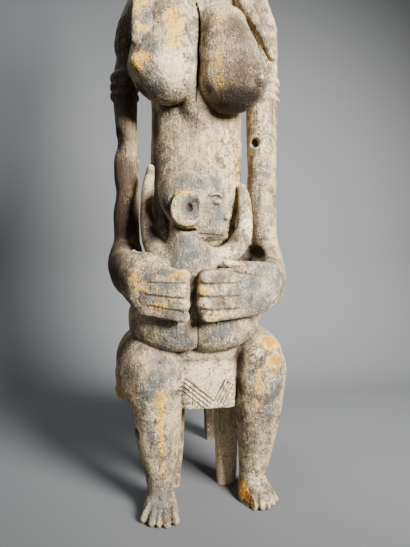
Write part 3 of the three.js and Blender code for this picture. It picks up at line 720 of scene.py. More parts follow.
def box_blur(values, radius):
    """The mean over a cube round each grid point, taken one axis at a time from running sums."""
    for axis in range(3):
        size = values.shape[axis]
        running = np.cumsum(values, axis=axis, dtype=np.float64)
        nothing = np.zeros_like(np.take(running, [0], axis=axis))
        running = np.concatenate([nothing, running], axis=axis)
        high = np.minimum(np.arange(size) + radius + 1, size)
        low = np.maximum(np.arange(size) - radius, 0)
        total = np.take(running, high, axis=axis) - np.take(running, low, axis=axis)
        shape = [1, 1, 1]
        shape[axis] = size
        values = (total / (high - low).reshape(shape)).astype(np.float32)
    return values


def wood_share(block, points, radius):
    """The share of wood in a cube round each point: half on a flat face, more in a hollow, less on
    an edge. The cube is blurred twice to soften it."""
    stride = max(1, int(round(radius / 3 / block.step)))
    filled = np.clip(0.5 - block.field[::stride, ::stride, ::stride] / (block.step * stride), 0, 1)
    reach = max(1, int(round(radius / 2 / (block.step * stride))))
    blurred = box_blur(box_blur(filled, reach), reach)
    return sample_grid(blurred, block.low, block.step * stride, points)


JOINT_FILLET = 1.5    # between the mother, the child and the hands, mm


def carved(step, *carvers):
    """A new block with what each carver adds and takes away."""
    block = Block(step)
    for carve in carvers:
        carve(block)
    return block


def carve_block(step):
    """The whole figure on one grid. The child and the hands are carved on blocks of their own, so
    that their fillets stay small where they touch the mother."""
    block = carved(step, carve_trunk, carve_shoulders, carve_arms, carve_armlets, carve_breasts,
                   carve_mother_head, carve_legs, carve_feet, carve_apron, carve_stool,
                   carve_tresses)
    block.join(carved(step, carve_child_body, carve_child_head), JOINT_FILLET)
    block.join(carved(step, carve_arms, carve_forearms, carve_hands), JOINT_FILLET)
    cut_losses(block)
    return block


WEAR = ((0.7, 26, (1, 1, 1)), (0.35, 11, (1, 1, 1)), (0.25, 3.2, (1, 1, 7)))
SOLE = 4    # mm above the floor in which the wear fades out


def wear_surface(points, faces, seed):
    """Uneven hand work and weathering: soft noise moves each point along its normal. A row of the
    table gives how far, the size of the bumps in mm and how far they are drawn out."""
    normals = point_normals(points, faces)
    noise = Noise(seed)
    move = sum(far * noise.at(points, size, stretch) for far, size, stretch in WEAR)
    above_floor = np.clip(points[:, 2] / SOLE, 0, 1)
    return points + normals * (move * above_floor)[:, None]


def mesh_from(name, points, faces):
    """A Blender mesh from an array of points and an array of faces with equally many sides."""
    mesh = bpy.data.meshes.new(name)
    sides = faces.shape[1]
    mesh.vertices.add(len(points))
    mesh.vertices.foreach_set("co", np.ascontiguousarray(points, np.float32).ravel())
    mesh.loops.add(faces.size)
    mesh.loops.foreach_set("vertex_index", np.ascontiguousarray(faces, np.int32).ravel())
    mesh.polygons.add(len(faces))
    mesh.polygons.foreach_set("loop_start", np.arange(0, faces.size, sides, dtype=np.int32))
    mesh.update(calc_edges=True)
    return mesh


def thinned(name, points, faces, triangle_limit):
    """The mesh with its flatter places made of fewer triangles, down to the limit."""
    mesh = mesh_from(name, points, faces)
    piece = bpy.data.objects.new(name, mesh)
    bpy.context.scene.collection.objects.link(piece)
    triangles = len(faces) * (faces.shape[1] - 2)
    if triangles > triangle_limit:
        thin = piece.modifiers.new("thin", "DECIMATE")
        thin.ratio = triangle_limit / triangles
        graph = bpy.context.evaluated_depsgraph_get()
        finer = bpy.data.meshes.new_from_object(piece.evaluated_get(graph))
        piece.modifiers.clear()
        piece.data = finer
        bpy.data.meshes.remove(mesh)
        finer.name = name
    return piece


# Where each finish, painted light and painted shading lies, as soft balls: x, y, z, radius across,
# radius in height, strength

PLACES = {
    "ochre": [
        (-32, -87, 597, 11, 24, 1.2), (-32, -95, 572, 9, 18, 0.9), (-76, -95, 546, 9, 10, 1.3),
        (-66, -98, 553, 9, 9, 0.9), (-72, -83, 612, 9, 14, 1.0), (-70, -89, 585, 7, 9, 0.9),
        (22, -86, 602, 8, 16, 0.5), (18, -98, 549, 8, 18, 0.7), (21, -95, 525, 8, 12, 0.7),
        (84, -86, 215, 13, 9, 1.2), (88, -96, 192, 10, 10, 1.2), (69, -96, 165, 3.5, 26, 1.1),
        (68, -89, 138, 3.5, 20, 0.7), (-51, -102, 152, 8, 12, 1.2), (-50, -97, 128, 4, 22, 1.0),
        (-49, -92, 94, 4, 26, 0.8), (-48, -87, 56, 4, 20, 0.6), (-30, -135, 301, 13, 4.5, 1.2),
        (-78, -121, 298, 9, 7, 0.9), (-70, -124, 287, 10, 5, 0.9), (-51, -128, 266, 14, 5, 0.7),
        (-2, -135, 283, 8, 6, 1.1), (8, -134, 253, 12, 5, 0.7), (-25, -125, 393, 11, 3, 1.2),
        (-17, -125, 357, 8, 3, 1.2), (28, -124, 315, 9, 4, 1.0), (54, -30, 450, 14, 50, 0.45),
        (40, -46, 440, 14, 40, 0.35),
    ],
    "blue_grey": [
        (-65, -87, 600, 6, 9, 1.1), (-69, -91, 574, 6, 6, 0.9), (-61, -97, 562, 12, 12, 1.0),
        (-58, -97, 535, 9, 8, 0.6), (-54, -89, 520, 14, 10, 1.0), (-35, -85, 505, 14, 8, 0.6),
        (72, -92, 527, 8, 9, 0.9), (48, -98, 545, 30, 34, 0.55), (-21, -120, 407, 18, 10, 0.9),
        (14, -111, 406, 12, 12, 1.1), (16, -115, 370, 12, 14, 1.2), (9, -121, 391, 8, 6, 0.7),
        (-40, -108, 385, 10, 20, 0.5), (-17, -120, 375, 12, 14, 1.2), (-10, -118, 404, 26, 12, 0.9),
        (-23, -113, 338, 12, 12, 1.0), (-17, -117, 320, 18, 12, 1.1), (-30, -115, 315, 12, 10, 1.0),
        (0, -118, 330, 14, 14, 0.7), (-66, -125, 299, 10, 6, 0.9), (-45, -129, 304, 10, 4, 1.1),
        (-50, -129, 289, 14, 5, 1.0), (-38, -132, 289, 10, 5, 0.9), (-58, -127, 275, 14, 5, 0.7),
        (-30, -133, 258, 14, 6, 0.8), (52, -120, 288, 16, 14, 1.15), (68, -112, 305, 16, 10, 1.1),
        (46, -121, 271, 18, 8, 1.0), (68, -113, 266, 16, 14, 1.1), (84, -94, 296, 16, 26, 0.9),
        (10, -132, 272, 12, 6, 0.6), (14, -132, 296, 14, 5, 0.7), (-32, -111, 230, 18, 12, 1.1),
        (-42, -106, 219, 14, 10, 1.0), (-16, -108, 220, 8, 10, 1.0), (16, -112, 230, 12, 12, 1.1),
        (28, -111, 241, 14, 10, 1.0), (45, -113, 250, 14, 8, 0.6), (-56, -107, 176, 14, 12, 1.1),
        (-65, -105, 163, 10, 12, 1.1), (-51, -103, 197, 14, 9, 0.8), (-37, -100, 185, 8, 10, 0.9),
        (92, -92, 160, 8, 18, 1.3), (85, -87, 130, 8, 16, 1.0), (76, -84, 112, 10, 20, 0.5),
        (-71, -98, 146, 5, 14, 1.1), (-63, -93, 108, 6, 24, 0.7), (83, -23, 397, 9, 20, 0.7),
        (82, -17, 343, 9, 20, 0.7), (93, -23, 438, 8, 20, 0.6), (-52, -90, 22, 28, 24, 0.75),
        (0, 60, 600, 50, 60, 0.6), (0, 60, 400, 60, 60, 0.5), (-60, 120, 172, 50, 10, 0.6),
        (60, 90, 205, 30, 30, 0.8), (0, 10, 960, 20, 40, 0.7), (0, -50, 770, 30, 20, 0.4),
    ],
    # Darker wood where the dusty coat is gone, as on the left arm and the right breast, and painted
    # shading on sides turned from the light: the left arm, the trunk's left edge, the left thigh's
    # outer side, the right knee's inner side, the back stool leg and the gaps beside the child's
    # head
    "brown": [
        (-106, -14, 610, 34, 60, 0.8), (-104, -20, 530, 34, 50, 0.8), (-104, -22, 475, 26, 30, 0.9),
        (-101, -22, 425, 26, 36, 1.15), (-104, -26, 372, 30, 38, 1.3),
        (-106, -60, 330, 34, 30, 1.25), (-104, -92, 306, 20, 28, 1.2),
        (-90, -108, 298, 13, 22, 0.8), (-94, -73, 212, 20, 24, 0.9), (-86, -99, 182, 13, 24, 0.7),
        (-98, -60, 180, 20, 40, 0.9), (48, -83, 193, 8, 20, 1.2), (47, -80, 160, 5, 20, 1.2),
        (53, -72, 113, 5, 40, 0.6), (43, 134, 60, 20, 80, 1.0), (58, -70, 8, 18, 20, 1.2),
        (-56, -22, 488, 11, 26, 1.0), (-56, -23, 435, 10, 40, 0.9), (-56, -23, 382, 11, 40, 1.0),
        (50, -98, 536, 36, 42, 0.85), (42, -92, 588, 26, 32, 0.7), (46, -96, 512, 36, 18, 1.1),
        (-60, -70, 380, 12, 50, 0.8), (-96, -98, 240, 16, 20, 0.8), (36, -98, 348, 10, 16, 0.9),
        (40, -60, 330, 16, 8, 0.6), (76, -50, 640, 9, 30, 0.5), (84, -58, 606, 6, 20, 0.4),
        (20, -100, 208, 26, 5, 0.4),
    ],
    "raw": [
        (-107, -20, 160, 14, 14, 1.2), (-106, -22, 142, 12, 14, 1.2), (-114, 15, 150, 14, 20, 0.9),
        (86, -84, 217, 9, 6, 1.1), (91, -94, 195, 7, 7, 1.1), (84, -86, 206, 4, 12, 0.6),
        (-107, -69, 185, 9, 13, 0.8), (-104, -76, 178, 6, 12, 0.7),
    ],
    "grained": [
        (96, 0, 470, 30, 190, 1.0), (-96, 0, 450, 30, 170, 0.7), (4, 60, 70, 80, 60, 1.0),
        (44, -4, 70, 24, 70, 0.45), (58, -66, 14, 16, 24, 1.4), (0, -10, 470, 60, 90, 0.2),
        (0, 150, 150, 130, 60, 0.6), (-50, -90, 90, 14, 60, 0.4), (72, -84, 120, 16, 70, 0.5),
        (72, -94, 170, 14, 30, 0.6),
    ],
    # Painted shading, mixed in dark where shadow falls: under the breasts, in the drilled hole, the
    # crook of the elbow, the slot between the hands, the ear's pit, beside the left arm, beside the
    # right knee and shin, and in the gaps round the child's head and arms
    "grime": [
        (45, -92, 511, 30, 9, 0.9), (37, -82, 502, 34, 9, 1.2), (62, -88, 513, 16, 10, 1.0),
        (10, -85, 520, 6, 12, 0.7), (-72, -70, 518, 14, 16, 0.8), (-40, -80, 486, 26, 8, 0.6),
        (81, 0, 476, 9, 9, 1.4), (-15, -122, 275, 5, 26, 1.2), (-10, -124, 248, 7, 6, 1.2),
        (71, -24, 325, 24, 14, 1.6), (-43, -108, 368, 5, 16, 1.2), (-58, -86, 352, 10, 22, 1.0),
        (48, -83, 202, 6, 12, 0.9), (-80, 0, 640, 10, 60, 0.6), (-88, -20, 540, 10, 40, 0.5),
        (46, -86, 150, 4, 22, 0.6), (40, -88, 342, 8, 8, 0.7), (-17.5, -117, 376, 6, 8, 0.8),
    ],
    # Pale patches: partly pale dusty wood, partly painted light on lit sides and ridges, such as
    # the torso's right side, the right arm, the finger ridges and the rim of the child's ear
    "cream": [
        (8, -83, 160, 36, 34, 1.1), (4, -88, 200, 34, 9, 0.8), (-36, -101, 536, 22, 34, 1.1),
        (-12, -95, 560, 8, 60, 0.6), (57, -72, 362, 12, 34, 0.9), (-35, -126, 376, 4, 18, 1.0),
        (-20, -127, 359, 12, 4, 0.9), (40, -36, 450, 22, 60, 0.5), (-58, -100, 130, 14, 40, 0.6),
        (88, -20, 480, 12, 60, 0.5), (-26, -135, 285, 6, 30, 0.7), (3, -135, 275, 6, 30, 0.8),
        (70, -76, 30, 26, 24, 0.6), (34, -124, 314, 12, 4, 0.9), (-60, -110, 318, 14, 8, 0.7),
        (28, -96, 325, 20, 10, 0.7), (30, -110, 222, 12, 8, 0.6), (66, -95, 210, 12, 20, 0.7),
        # The last ball in the row below is painted light on the front stool leg, which stands in
        # the shin's shadow
        (88, -98, 262, 14, 16, 0.5), (38, -18, 66, 22, 90, 1.7),
    ],
}

# Incised and cracked lines seen from the front, drawn dark: the cracks are dark as open joints, and
# in the incised grooves, between the fingers, along a crease of the right hand, under the jaw, in
# the child's cleft and along the left tress's edge the dark is painted shading. A row is one line,
# or some parallel ones: x, z, end x, end z, half width, strength, how many lines, and how far each
# lies from the one before it

LINES = [
    (-20, 171, 15.5, 141, 0.75, 0.9, 4, 4.8), (15.5, 141, 28.5, 168, 0.7, 0.8, 4, 4.2),
    (-11, 157, -11.3, 135, 0.6, 0.7, 1, 1), (-66, 292.4, -22, 291.6, 1.1, 0.6, 1, 1),
    (-68, 279, -24, 275, 1.2, 0.8, 1, 1), (-66, 267, -24, 260, 1.2, 0.75, 1, 1),
    (-6, 290.8, 40, 291.2, 1.1, 0.65, 3, 14.6), (-5.6, 511, -2.8, 557, 0.9, 0.9, 1, 1),
    (-2.8, 557, -1.8, 622, 0.8, 0.9, 1, 1), (-3, 500, -4.5, 474, 0.5, 0.7, 1, 1),
    (-8, 347.5, 26, 345.4, 0.7, 0.8, 1, 1), (-6.5, 209, -7, 250, 0.8, 0.8, 1, 1),
    (24, 306, 62, 299, 0.7, 0.7, 1, 1), (-56, 645, -57.5, 576, 1.0, 0.45, 1, 1),
]


def place_mask(points, places):
    """The strongest of the soft balls at each point: strength times exp(-offset squared)."""
    mask = np.zeros(len(points), np.float32)
    for x, y, z, across, height, strength in places:
        offset = (points - (x, y, z)) / (across, across, height)
        mask = np.maximum(mask, strength * np.exp(-(offset ** 2).sum(axis=1)))
    return mask


def face_mask(points, place, outward, low, high, reach=2.3):
    """One on the flat face through a place and inside a box. Off the face it falls to zero over
    the last millimetre of its reach."""
    outward = np.array(outward) / np.linalg.norm(outward)
    apart = np.abs((points - place) @ outward)
    inside = ((points > low) & (points < high)).all(axis=1)
    return np.clip(reach - apart, 0, 1) * inside


# Material


NODES_PER_COLUMN = 8
COLUMN_WIDTH, ROW_HEIGHT = 220, 190

# The grain's masks: how far the noise is drawn out along Z, its fineness or None for the group's
# own, and the noise values that give 0 and 1

GRAIN = {
    "Fibre": (0.035, None, 0.5, 0.68),
    "Pore": (0.2, 340.0, 0.6, 0.7),
    "Band": (0.06, 95.0, 0.36, 0.66),
}

# The patina's masks: the noise's scale and detail, and the values that give 0 and 1

SPECKLE = {
    "Grit": (560.0, 2, 0.47, 0.6),
    "Grain": (330.0, 3, 0.42, 0.58),
    "Middle": (85.0, 5, 0.4, 0.62),
    "Large": (26.0, 4, 0.38, 0.62),
    "Stain": (55.0, 5, 0.46, 0.6),
}

# How a finish breaks up at its rim: the shares of grains and of blotches that are added to its
# place mask, the sums that give 0 and 1, and the strength of the whole

PATCHES = {
    # pale patches, partly painted light
    "cream": (0.3, 0.3, 0.5, 1.1, 0.8),
    "ochre": (0.3, 0.35, 0.5, 0.95, 0.95),
    "blue_grey": (0.22, 0.5, 0.52, 1.0, 0.9),
    # darker wood, partly painted shading on shadowed sides
    "brown": (0.16, 0.3, 0.4, 1.05, 0.95),
    "raw": (0.2, 0.3, 0.5, 0.8, 1),
    # painted shading in sheltered places
    "grime": (0.2, 0.3, 0.35, 1.1, 0.9),
}

LINE_WAVER = 1.4             # how unsteady the incised lines are, mm
LINE_WAVER_SCALE = 130
LINES_FROM = (-45, -52)      # Y where the incised lines fade in, towards the front, mm


def node(tree, kind, **settings):
    """A new node. Nodes stand in the order in which they are made, in columns from the left."""
    column, row = divmod(len(tree.nodes), NODES_PER_COLUMN)
    made = tree.nodes.new(kind)
    made.location = (COLUMN_WIDTH * column, -ROW_HEIGHT * row)
    for key, value in settings.items():
        setattr(made, key, value)
    return made


def feed(tree, socket, value):
    """Gives a socket its value: a number, a colour, or the output of another node."""
    if isinstance(value, (int, float)):
        socket.default_value = value
    elif isinstance(value, (tuple, list)):
        socket.default_value = (*value[:3], 1)
    else:
        tree.links.new(value, socket)


def math_node(tree, operation, *values, clamp=False):
    """The output of a math node that is fed with numbers and outputs."""
    made = node(tree, "ShaderNodeMath", operation=operation, use_clamp=clamp)
    for socket, value in zip(made.inputs, values):
        feed(tree, socket, value)
    return made.outputs[0]


def mix_colour(tree, factor, first, second):
    """The first colour where the factor is 0, the second where it is 1."""
    made = node(tree, "ShaderNodeMix", data_type="RGBA")
    for index, value in ((0, factor), (6, first), (7, second)):
        feed(tree, made.inputs[index], value)
    return made.outputs[2]


def ramp(tree, value, low, high):
    """A value stretched so that low gives 0 and high gives 1, with soft ends."""
    made = node(tree, "ShaderNodeMapRange", clamp=True, interpolation_type="SMOOTHSTEP")
    for socket, given in zip(made.inputs, (value, low, high)):
        feed(tree, socket, given)
    return made.outputs[0]


def noise_value(tree, vector, scale, detail, roughness, distortion=0.0):
    """Noise around 0.5. The scale is the number of its bumps in a metre."""
    made = node(tree, "ShaderNodeTexNoise")
    for label, value in (("Vector", vector), ("Scale", scale), ("Detail", detail),
                         ("Roughness", roughness), ("Distortion", distortion)):
        feed(tree, made.inputs[label], value)
    return made.outputs["Fac"]


def new_group(name, inputs, outputs):
    """A group of nodes, with the sockets inside it. Each input has a number as its default, or
    None where it is a vector. The outputs are masks."""
    tree = bpy.data.node_groups.new(name, "ShaderNodeTree")
    for label, default in inputs.items():
        kind = "NodeSocketVector" if default is None else "NodeSocketFloat"
        socket = tree.interface.new_socket(name=label, in_out="INPUT", socket_type=kind)
        if default is not None:
            socket.default_value = default
    for label in outputs:
        tree.interface.new_socket(name=label, in_out="OUTPUT", socket_type="NodeSocketFloat")
    into, out = node(tree, "NodeGroupInput"), node(tree, "NodeGroupOutput")
    out.location.x = 6 * COLUMN_WIDTH
    return tree, into.outputs, out.inputs


def grain_group():
    """Fibres and pores that run up the log: noise drawn out along Z, as masks from 0 to 1."""
    tree, into, out = new_group("wood_grain", {"Vector": None, "Fineness": 400.0}, GRAIN)
    for label, (drawn_out, fineness, low, high) in GRAIN.items():
        drawn = node(tree, "ShaderNodeMapping")
        drawn.inputs["Scale"].default_value = (1, 1, drawn_out)
        tree.links.new(into["Vector"], drawn.inputs["Vector"])
        value = noise_value(tree, drawn.outputs[0], fineness or into["Fineness"],
                            detail=2, roughness=0.55, distortion=0.25)
        tree.links.new(ramp(tree, value, low, high), out[label])
    return tree


def speckle_group():
    """Dust and patina in grains and blotches of five sizes, each as a mask from 0 to 1."""
    tree, into, out = new_group("patina_speckle", {"Vector": None}, SPECKLE)
    for label, (scale, detail, low, high) in SPECKLE.items():
        value = noise_value(tree, into["Vector"], scale, detail, roughness=0.62)
        tree.links.new(ramp(tree, value, low, high), out[label])
    return tree


def line_group():
    """Incised lines seen from the front: one line, or parallel ones at even spaces. Ahead is the
    share of the way along the line, aside the number of spaces beside it. The mask is 1 up to
    half of the half width from the nearest line, 0 from one and a half times it, and it fades
    out at the line's two ends."""
    tree, into, out = new_group("incised_line", {
        "Vector": None, "Start": None, "Ahead": None, "Aside": None, "Last Line": 0.0,
        "Half Width": 0.1, "Strength": 1.0}, ("Mask",))

    def vector_math(operation, first, second):
        made = node(tree, "ShaderNodeVectorMath", operation=operation)
        tree.links.new(first, made.inputs[0])
        tree.links.new(second, made.inputs[1])
        return made.outputs

    offset = vector_math("SUBTRACT", into["Vector"], into["Start"])["Vector"]
    ahead = vector_math("DOT_PRODUCT", offset, into["Ahead"])["Value"]
    aside = vector_math("DOT_PRODUCT", offset, into["Aside"])["Value"]
    whole = math_node(tree, "MAXIMUM", math_node(tree, "ROUND", aside), 0)
    nearest = math_node(tree, "MINIMUM", whole, into["Last Line"])
    gap = math_node(tree, "ABSOLUTE", math_node(tree, "SUBTRACT", aside, nearest))
    inside = ramp(tree, math_node(tree, "DIVIDE", gap, into["Half Width"]), 1.5, 0.5)
    from_middle = math_node(tree, "ABSOLUTE", math_node(tree, "SUBTRACT", ahead, 0.5))
    within = ramp(tree, from_middle, 0.53, 0.45)
    both = math_node(tree, "MULTIPLY", inside, within)
    tree.links.new(math_node(tree, "MULTIPLY", both, into["Strength"]), out["Mask"])
    return tree


def line_mask(tree, place):
    """The strongest of all incised lines, a little unsteady, only on what faces the front. Noise
    moves the place by up to the waver, and a line starts half of it further on."""
    waver = node(tree, "ShaderNodeTexNoise")
    feed(tree, waver.inputs["Vector"], place)
    feed(tree, waver.inputs["Scale"], LINE_WAVER_SCALE)
    shifted = node(tree, "ShaderNodeVectorMath", operation="MULTIPLY_ADD")
    tree.links.new(waver.outputs["Color"], shifted.inputs[0])
    shifted.inputs[1].default_value = [LINE_WAVER * MM] * 3
    tree.links.new(place, shifted.inputs[2])
    group = line_group()
    strongest = None
    for start_x, start_z, end_x, end_z, half, strength, count, space in LINES:
        line = node(tree, "ShaderNodeGroup", node_tree=group)
        run_x, run_z = (end_x - start_x) * MM, (end_z - start_z) * MM
        square = run_x ** 2 + run_z ** 2
        down = (run_z, -run_x) if run_x > 0 else (-run_z, run_x)
        spaced = space * MM * math.sqrt(square)
        tree.links.new(shifted.outputs[0], line.inputs["Vector"])
        line.inputs["Start"].default_value = (
            (start_x + CARVER_TO_FRAME[0] + LINE_WAVER / 2) * MM, 0,
            (start_z + LINE_WAVER / 2) * MM)
        line.inputs["Ahead"].default_value = (run_x / square, 0, run_z / square)
        line.inputs["Aside"].default_value = (down[0] / spaced, 0, down[1] / spaced)
        line.inputs["Last Line"].default_value = count - 1
        line.inputs["Half Width"].default_value = half / space
        line.inputs["Strength"].default_value = strength
        mask = line.outputs["Mask"]
        strongest = mask if strongest is None else math_node(tree, "MAXIMUM", strongest, mask)
    apart = node(tree, "ShaderNodeSeparateXYZ")
    tree.links.new(place, apart.inputs[0])
    fade = [float(y + CARVER_TO_FRAME[1]) * MM for y in LINES_FROM]
    return math_node(tree, "MULTIPLY", ramp(tree, apart.outputs["Y"], *fade), strongest)


def wood_material(colours):
    """Weathered wood, in layers from the bare wood up: a dusty base in two tones with bands and
    stains, then pale patches that are partly pale dusty wood and partly painted light on lit sides,
    ochre rubbed patches, blue-grey patina, darker wood where the dusty coat is gone together with
    painted shading on sides turned from the light, raw orange wood at the breaks, pale dusty
    grains, dark grains, fibres and pores, pale worn edges, painted shading in sheltered places and
    in hollows, and dark lines that are cracks and painted shading in incised grooves. Each layer is
    mixed over the ones before it by its mask."""
    material = bpy.data.materials.new(SLOT)
    material.use_nodes = True
    tree = material.node_tree
    tree.nodes.clear()
    place = node(tree, "ShaderNodeTexCoord").outputs["Object"]
    masks = {name: node(tree, "ShaderNodeAttribute", attribute_name=name).outputs["Fac"]
             for name in ("hollow", "deep_hollow", "ridge", *PLACES)}
    grain = node(tree, "ShaderNodeGroup", node_tree=grain_group())
    tree.links.new(place, grain.inputs["Vector"])
    speckle = node(tree, "ShaderNodeGroup", node_tree=speckle_group())
    tree.links.new(place, speckle.inputs["Vector"])
    fibre, pore, band = (grain.outputs[label] for label in GRAIN)
    grit, fine, middle, large, stain = (speckle.outputs[label] for label in SPECKLE)
    lines = line_mask(tree, place)

    def scaled(value, factor):
        return value if factor == 1 else math_node(tree, "MULTIPLY", value, factor)

    def patch(name):
        """A place mask, broken up into grains and blotches."""
        grain_share, blotch_share, low, high, strength = PATCHES[name]
        blotched = math_node(tree, "MULTIPLY_ADD", middle, blotch_share, masks[name])
        grained = math_node(tree, "MULTIPLY_ADD", fine, grain_share, blotched)
        return scaled(ramp(tree, grained, low, high), strength)

    def layers():
        """Each layer's mask and colour. Dust grains keep off bare wood, and dark grains lie
        between the pale ones."""
        yield scaled(middle, 0.65), "base_light"
        yield scaled(band, 0.45), "base_dark"
        yield scaled(stain, 0.55), "taupe"
        # pale patches, partly painted light on lit sides
        yield patch("cream"), "dust_and_painted_light"
        # the third of these is darker wood together with painted shading on sides turned from the
        # light
        for name in ("ochre", "blue_grey", "brown", "raw"):
            yield patch(name), name
        # pale dusty grains keep off these places, the painted shading on shadowed sides among them
        bare = math_node(tree, "MAXIMUM", masks["brown"], masks["ochre"])
        bare = math_node(tree, "MAXIMUM", bare, masks["raw"])
        bare = math_node(tree, "MAXIMUM", bare, scaled(masks["blue_grey"], 0.45))
        dust_share = math_node(tree, "MULTIPLY_ADD", middle, 0.62, 0.1)
        dusty = math_node(tree, "SUBTRACT", dust_share, scaled(bare, 0.62), clamp=True)
        yield math_node(tree, "MULTIPLY", grit, dusty), "dust_and_painted_light"
        dark_share = math_node(tree, "MULTIPLY_ADD", middle, -0.3, 0.5)
        between = math_node(tree, "SUBTRACT", 1.0, fine)
        yield math_node(tree, "MULTIPLY", between, dark_share), "dark_grain_and_painted_shade"
        streak = math_node(tree, "MULTIPLY_ADD", masks["grained"], 0.55, 0.2)
        yield math_node(tree, "MULTIPLY", fibre, streak), "crevice_and_painted_shade"
        yield scaled(pore, 0.6), "crevice_and_painted_shade"
        yield scaled(masks["ridge"], 0.6), "worn_edge"
        # painted shading in sheltered places
        yield patch("grime"), "crevice_and_painted_shade"
        # painted shading in deep hollows
        yield scaled(masks["deep_hollow"], 0.6), "dark_grain_and_painted_shade"
        # painted shading in small hollows and creases
        yield masks["hollow"], "crevice_and_painted_shade"
        # dark cracks, and painted shading in grooves
        yield lines, "crevice_and_painted_shade"

    colour = mix_colour(tree, large, colours["base_light"], colours["base"])
    for mask, name in layers():
        colour = mix_colour(tree, mask, colour, colours[name])

    height = scaled(grit, 0.35)
    for mask, share in ((fine, 0.6), (pore, -0.8), (lines, -1.5), (fibre, -0.35)):
        height = math_node(tree, "MULTIPLY_ADD", mask, share, height)
    bump = node(tree, "ShaderNodeBump")
    for label, value in (("Strength", 0.8), ("Distance", 0.0007), ("Height", height)):
        feed(tree, bump.inputs[label], value)
    shader = node(tree, "ShaderNodeBsdfPrincipled")
    rough = math_node(tree, "MULTIPLY_ADD", middle, 0.15, 0.72)
    for label, value in (("Base Color", colour), ("Normal", bump.outputs[0]),
                         ("Roughness", rough), ("Specular IOR Level", 0.3)):
        feed(tree, shader.inputs[label], value)
    output = node(tree, "ShaderNodeOutputMaterial")
    tree.links.new(shader.outputs[0], output.inputs["Surface"])
    return material


# Sizes and colours that a user may change


def number_property(name, description, default, **more):
    """A number that a user may change; more holds its limits and its unit."""
    return bpy.props.FloatProperty(name=name, description=description, default=default, **more)


def colour_property(name, description, default):
    return bpy.props.FloatVectorProperty(name=name, description=description, default=default,
                                         subtype="COLOR", size=3, min=0, max=1)


class CarvingSettings(bpy.types.PropertyGroup):
    step: number_property("Carving step", "Grid spacing of the carving", 0.0015,
                          min=0.001, max=0.01, unit="LENGTH")
    quick_step: number_property("Quick step", "Grid spacing of a quick look", 0.0025,
                                min=0.001, max=0.01, unit="LENGTH")
    triangles: bpy.props.IntProperty(
        name="Triangles", description="Most triangles in the finished mesh",
        default=190000, min=1000)
    seed: bpy.props.IntProperty(
        name="Seed", description="Seed of the hand work and weathering", default=7)


class WoodSettings(bpy.types.PropertyGroup):
    base: colour_property("Wood", "Plain weathered wood", (0.135, 0.098, 0.062))
    base_light: colour_property("Light wood", "Pale dusty wood", (0.49, 0.375, 0.212))
    base_dark: colour_property("Dark bands", "Darker bands along the grain",
                               (0.085, 0.058, 0.037))
    taupe: colour_property("Taupe", "Grey-brown stains", (0.112, 0.096, 0.079))
    # darker wood, and painted shading on sides turned from the light
    brown: colour_property("Brown", "Brown wood, and painted shading on sides turned from the light", (0.048, 0.026, 0.013))
    blue_grey: colour_property("Blue-grey", "Blue-grey patina", (0.100, 0.107, 0.105))
    ochre: colour_property("Ochre", "Rubbed ochre patches", (0.68, 0.40, 0.068))
    raw: colour_property("Raw wood", "Bare wood at the breaks", (0.46, 0.212, 0.016))
    # the colour of pale dusty grains, and of the painted light on lit sides
    dust_and_painted_light: colour_property("Dust", "Pale dusty grains, and painted light on lit sides", (0.82, 0.68, 0.43))
    worn_edge: colour_property("Worn edge", "Pale edges", (0.68, 0.56, 0.39))
    # dark fibres, pores and cracks, and painted shading in hollows, sheltered places and grooves
    crevice_and_painted_shade: colour_property("Crevice", "Dark fibres, pores and cracks, and painted shading in hollows and sheltered places", (0.012, 0.008, 0.006))
    # dark grains, and painted shading in deep hollows
    dark_grain_and_painted_shade: colour_property("Shade", "Dark grains, and painted shading in deep hollows", (0.040, 0.028, 0.020))


class StageSettings(bpy.types.PropertyGroup):
    floor: colour_property("Floor", "Plain pale floor", (0.135, 0.141, 0.149))
    key_light: number_property("Key light", "Power of the main soft light", 770.0,
                               min=0, unit="POWER")
    fill_light: number_property("Fill light", "Power of the weak light from the left", 8.5,
                                min=0, unit="POWER")
    back_light: number_property("Back light", "Power of the soft light from above and behind", 9.0,
                                min=0, unit="POWER")
    sky: number_property("Surrounding light", "Strength of the light all round", 0.05, min=0)
    camera_x: number_property("Camera X", "Camera to the right", -0.05646, unit="LENGTH")
    camera_y: number_property("Camera Y", "Camera to the back", -0.64129, unit="LENGTH")
    camera_z: number_property("Camera height", "Camera above the floor", 0.324, unit="LENGTH")
    heading: number_property("Heading", "Camera turned to the right of +Y", math.radians(6.197),
                             subtype="ANGLE")
    pitch: number_property("Pitch", "Camera tipped down", math.radians(2.481), subtype="ANGLE")
    lens: number_property("Lens", "Focal length for a 36 mm long side", 29.616, min=1)


SETTINGS = {"figure_carving": CarvingSettings, "figure_wood": WoodSettings,
            "figure_stage": StageSettings}


# Operators


CLOSE, WIDE = 5, 16    # sizes of the cubes in which the share of wood is taken, mm

# Masks by the share of wood round a place, which is half on a flat face, more in a hollow and less
# on an edge: the cube's size, and the shares that give 0 and 1. The two hollow masks are painted
# shading, darkest in hollows and creases, and the ridge mask marks pale worn edges.

SHARE_MASKS = {"hollow": (CLOSE, 0.6, 0.82), "deep_hollow": (WIDE, 0.56, 0.86),
               "ridge": (CLOSE, 0.37, 0.22)}


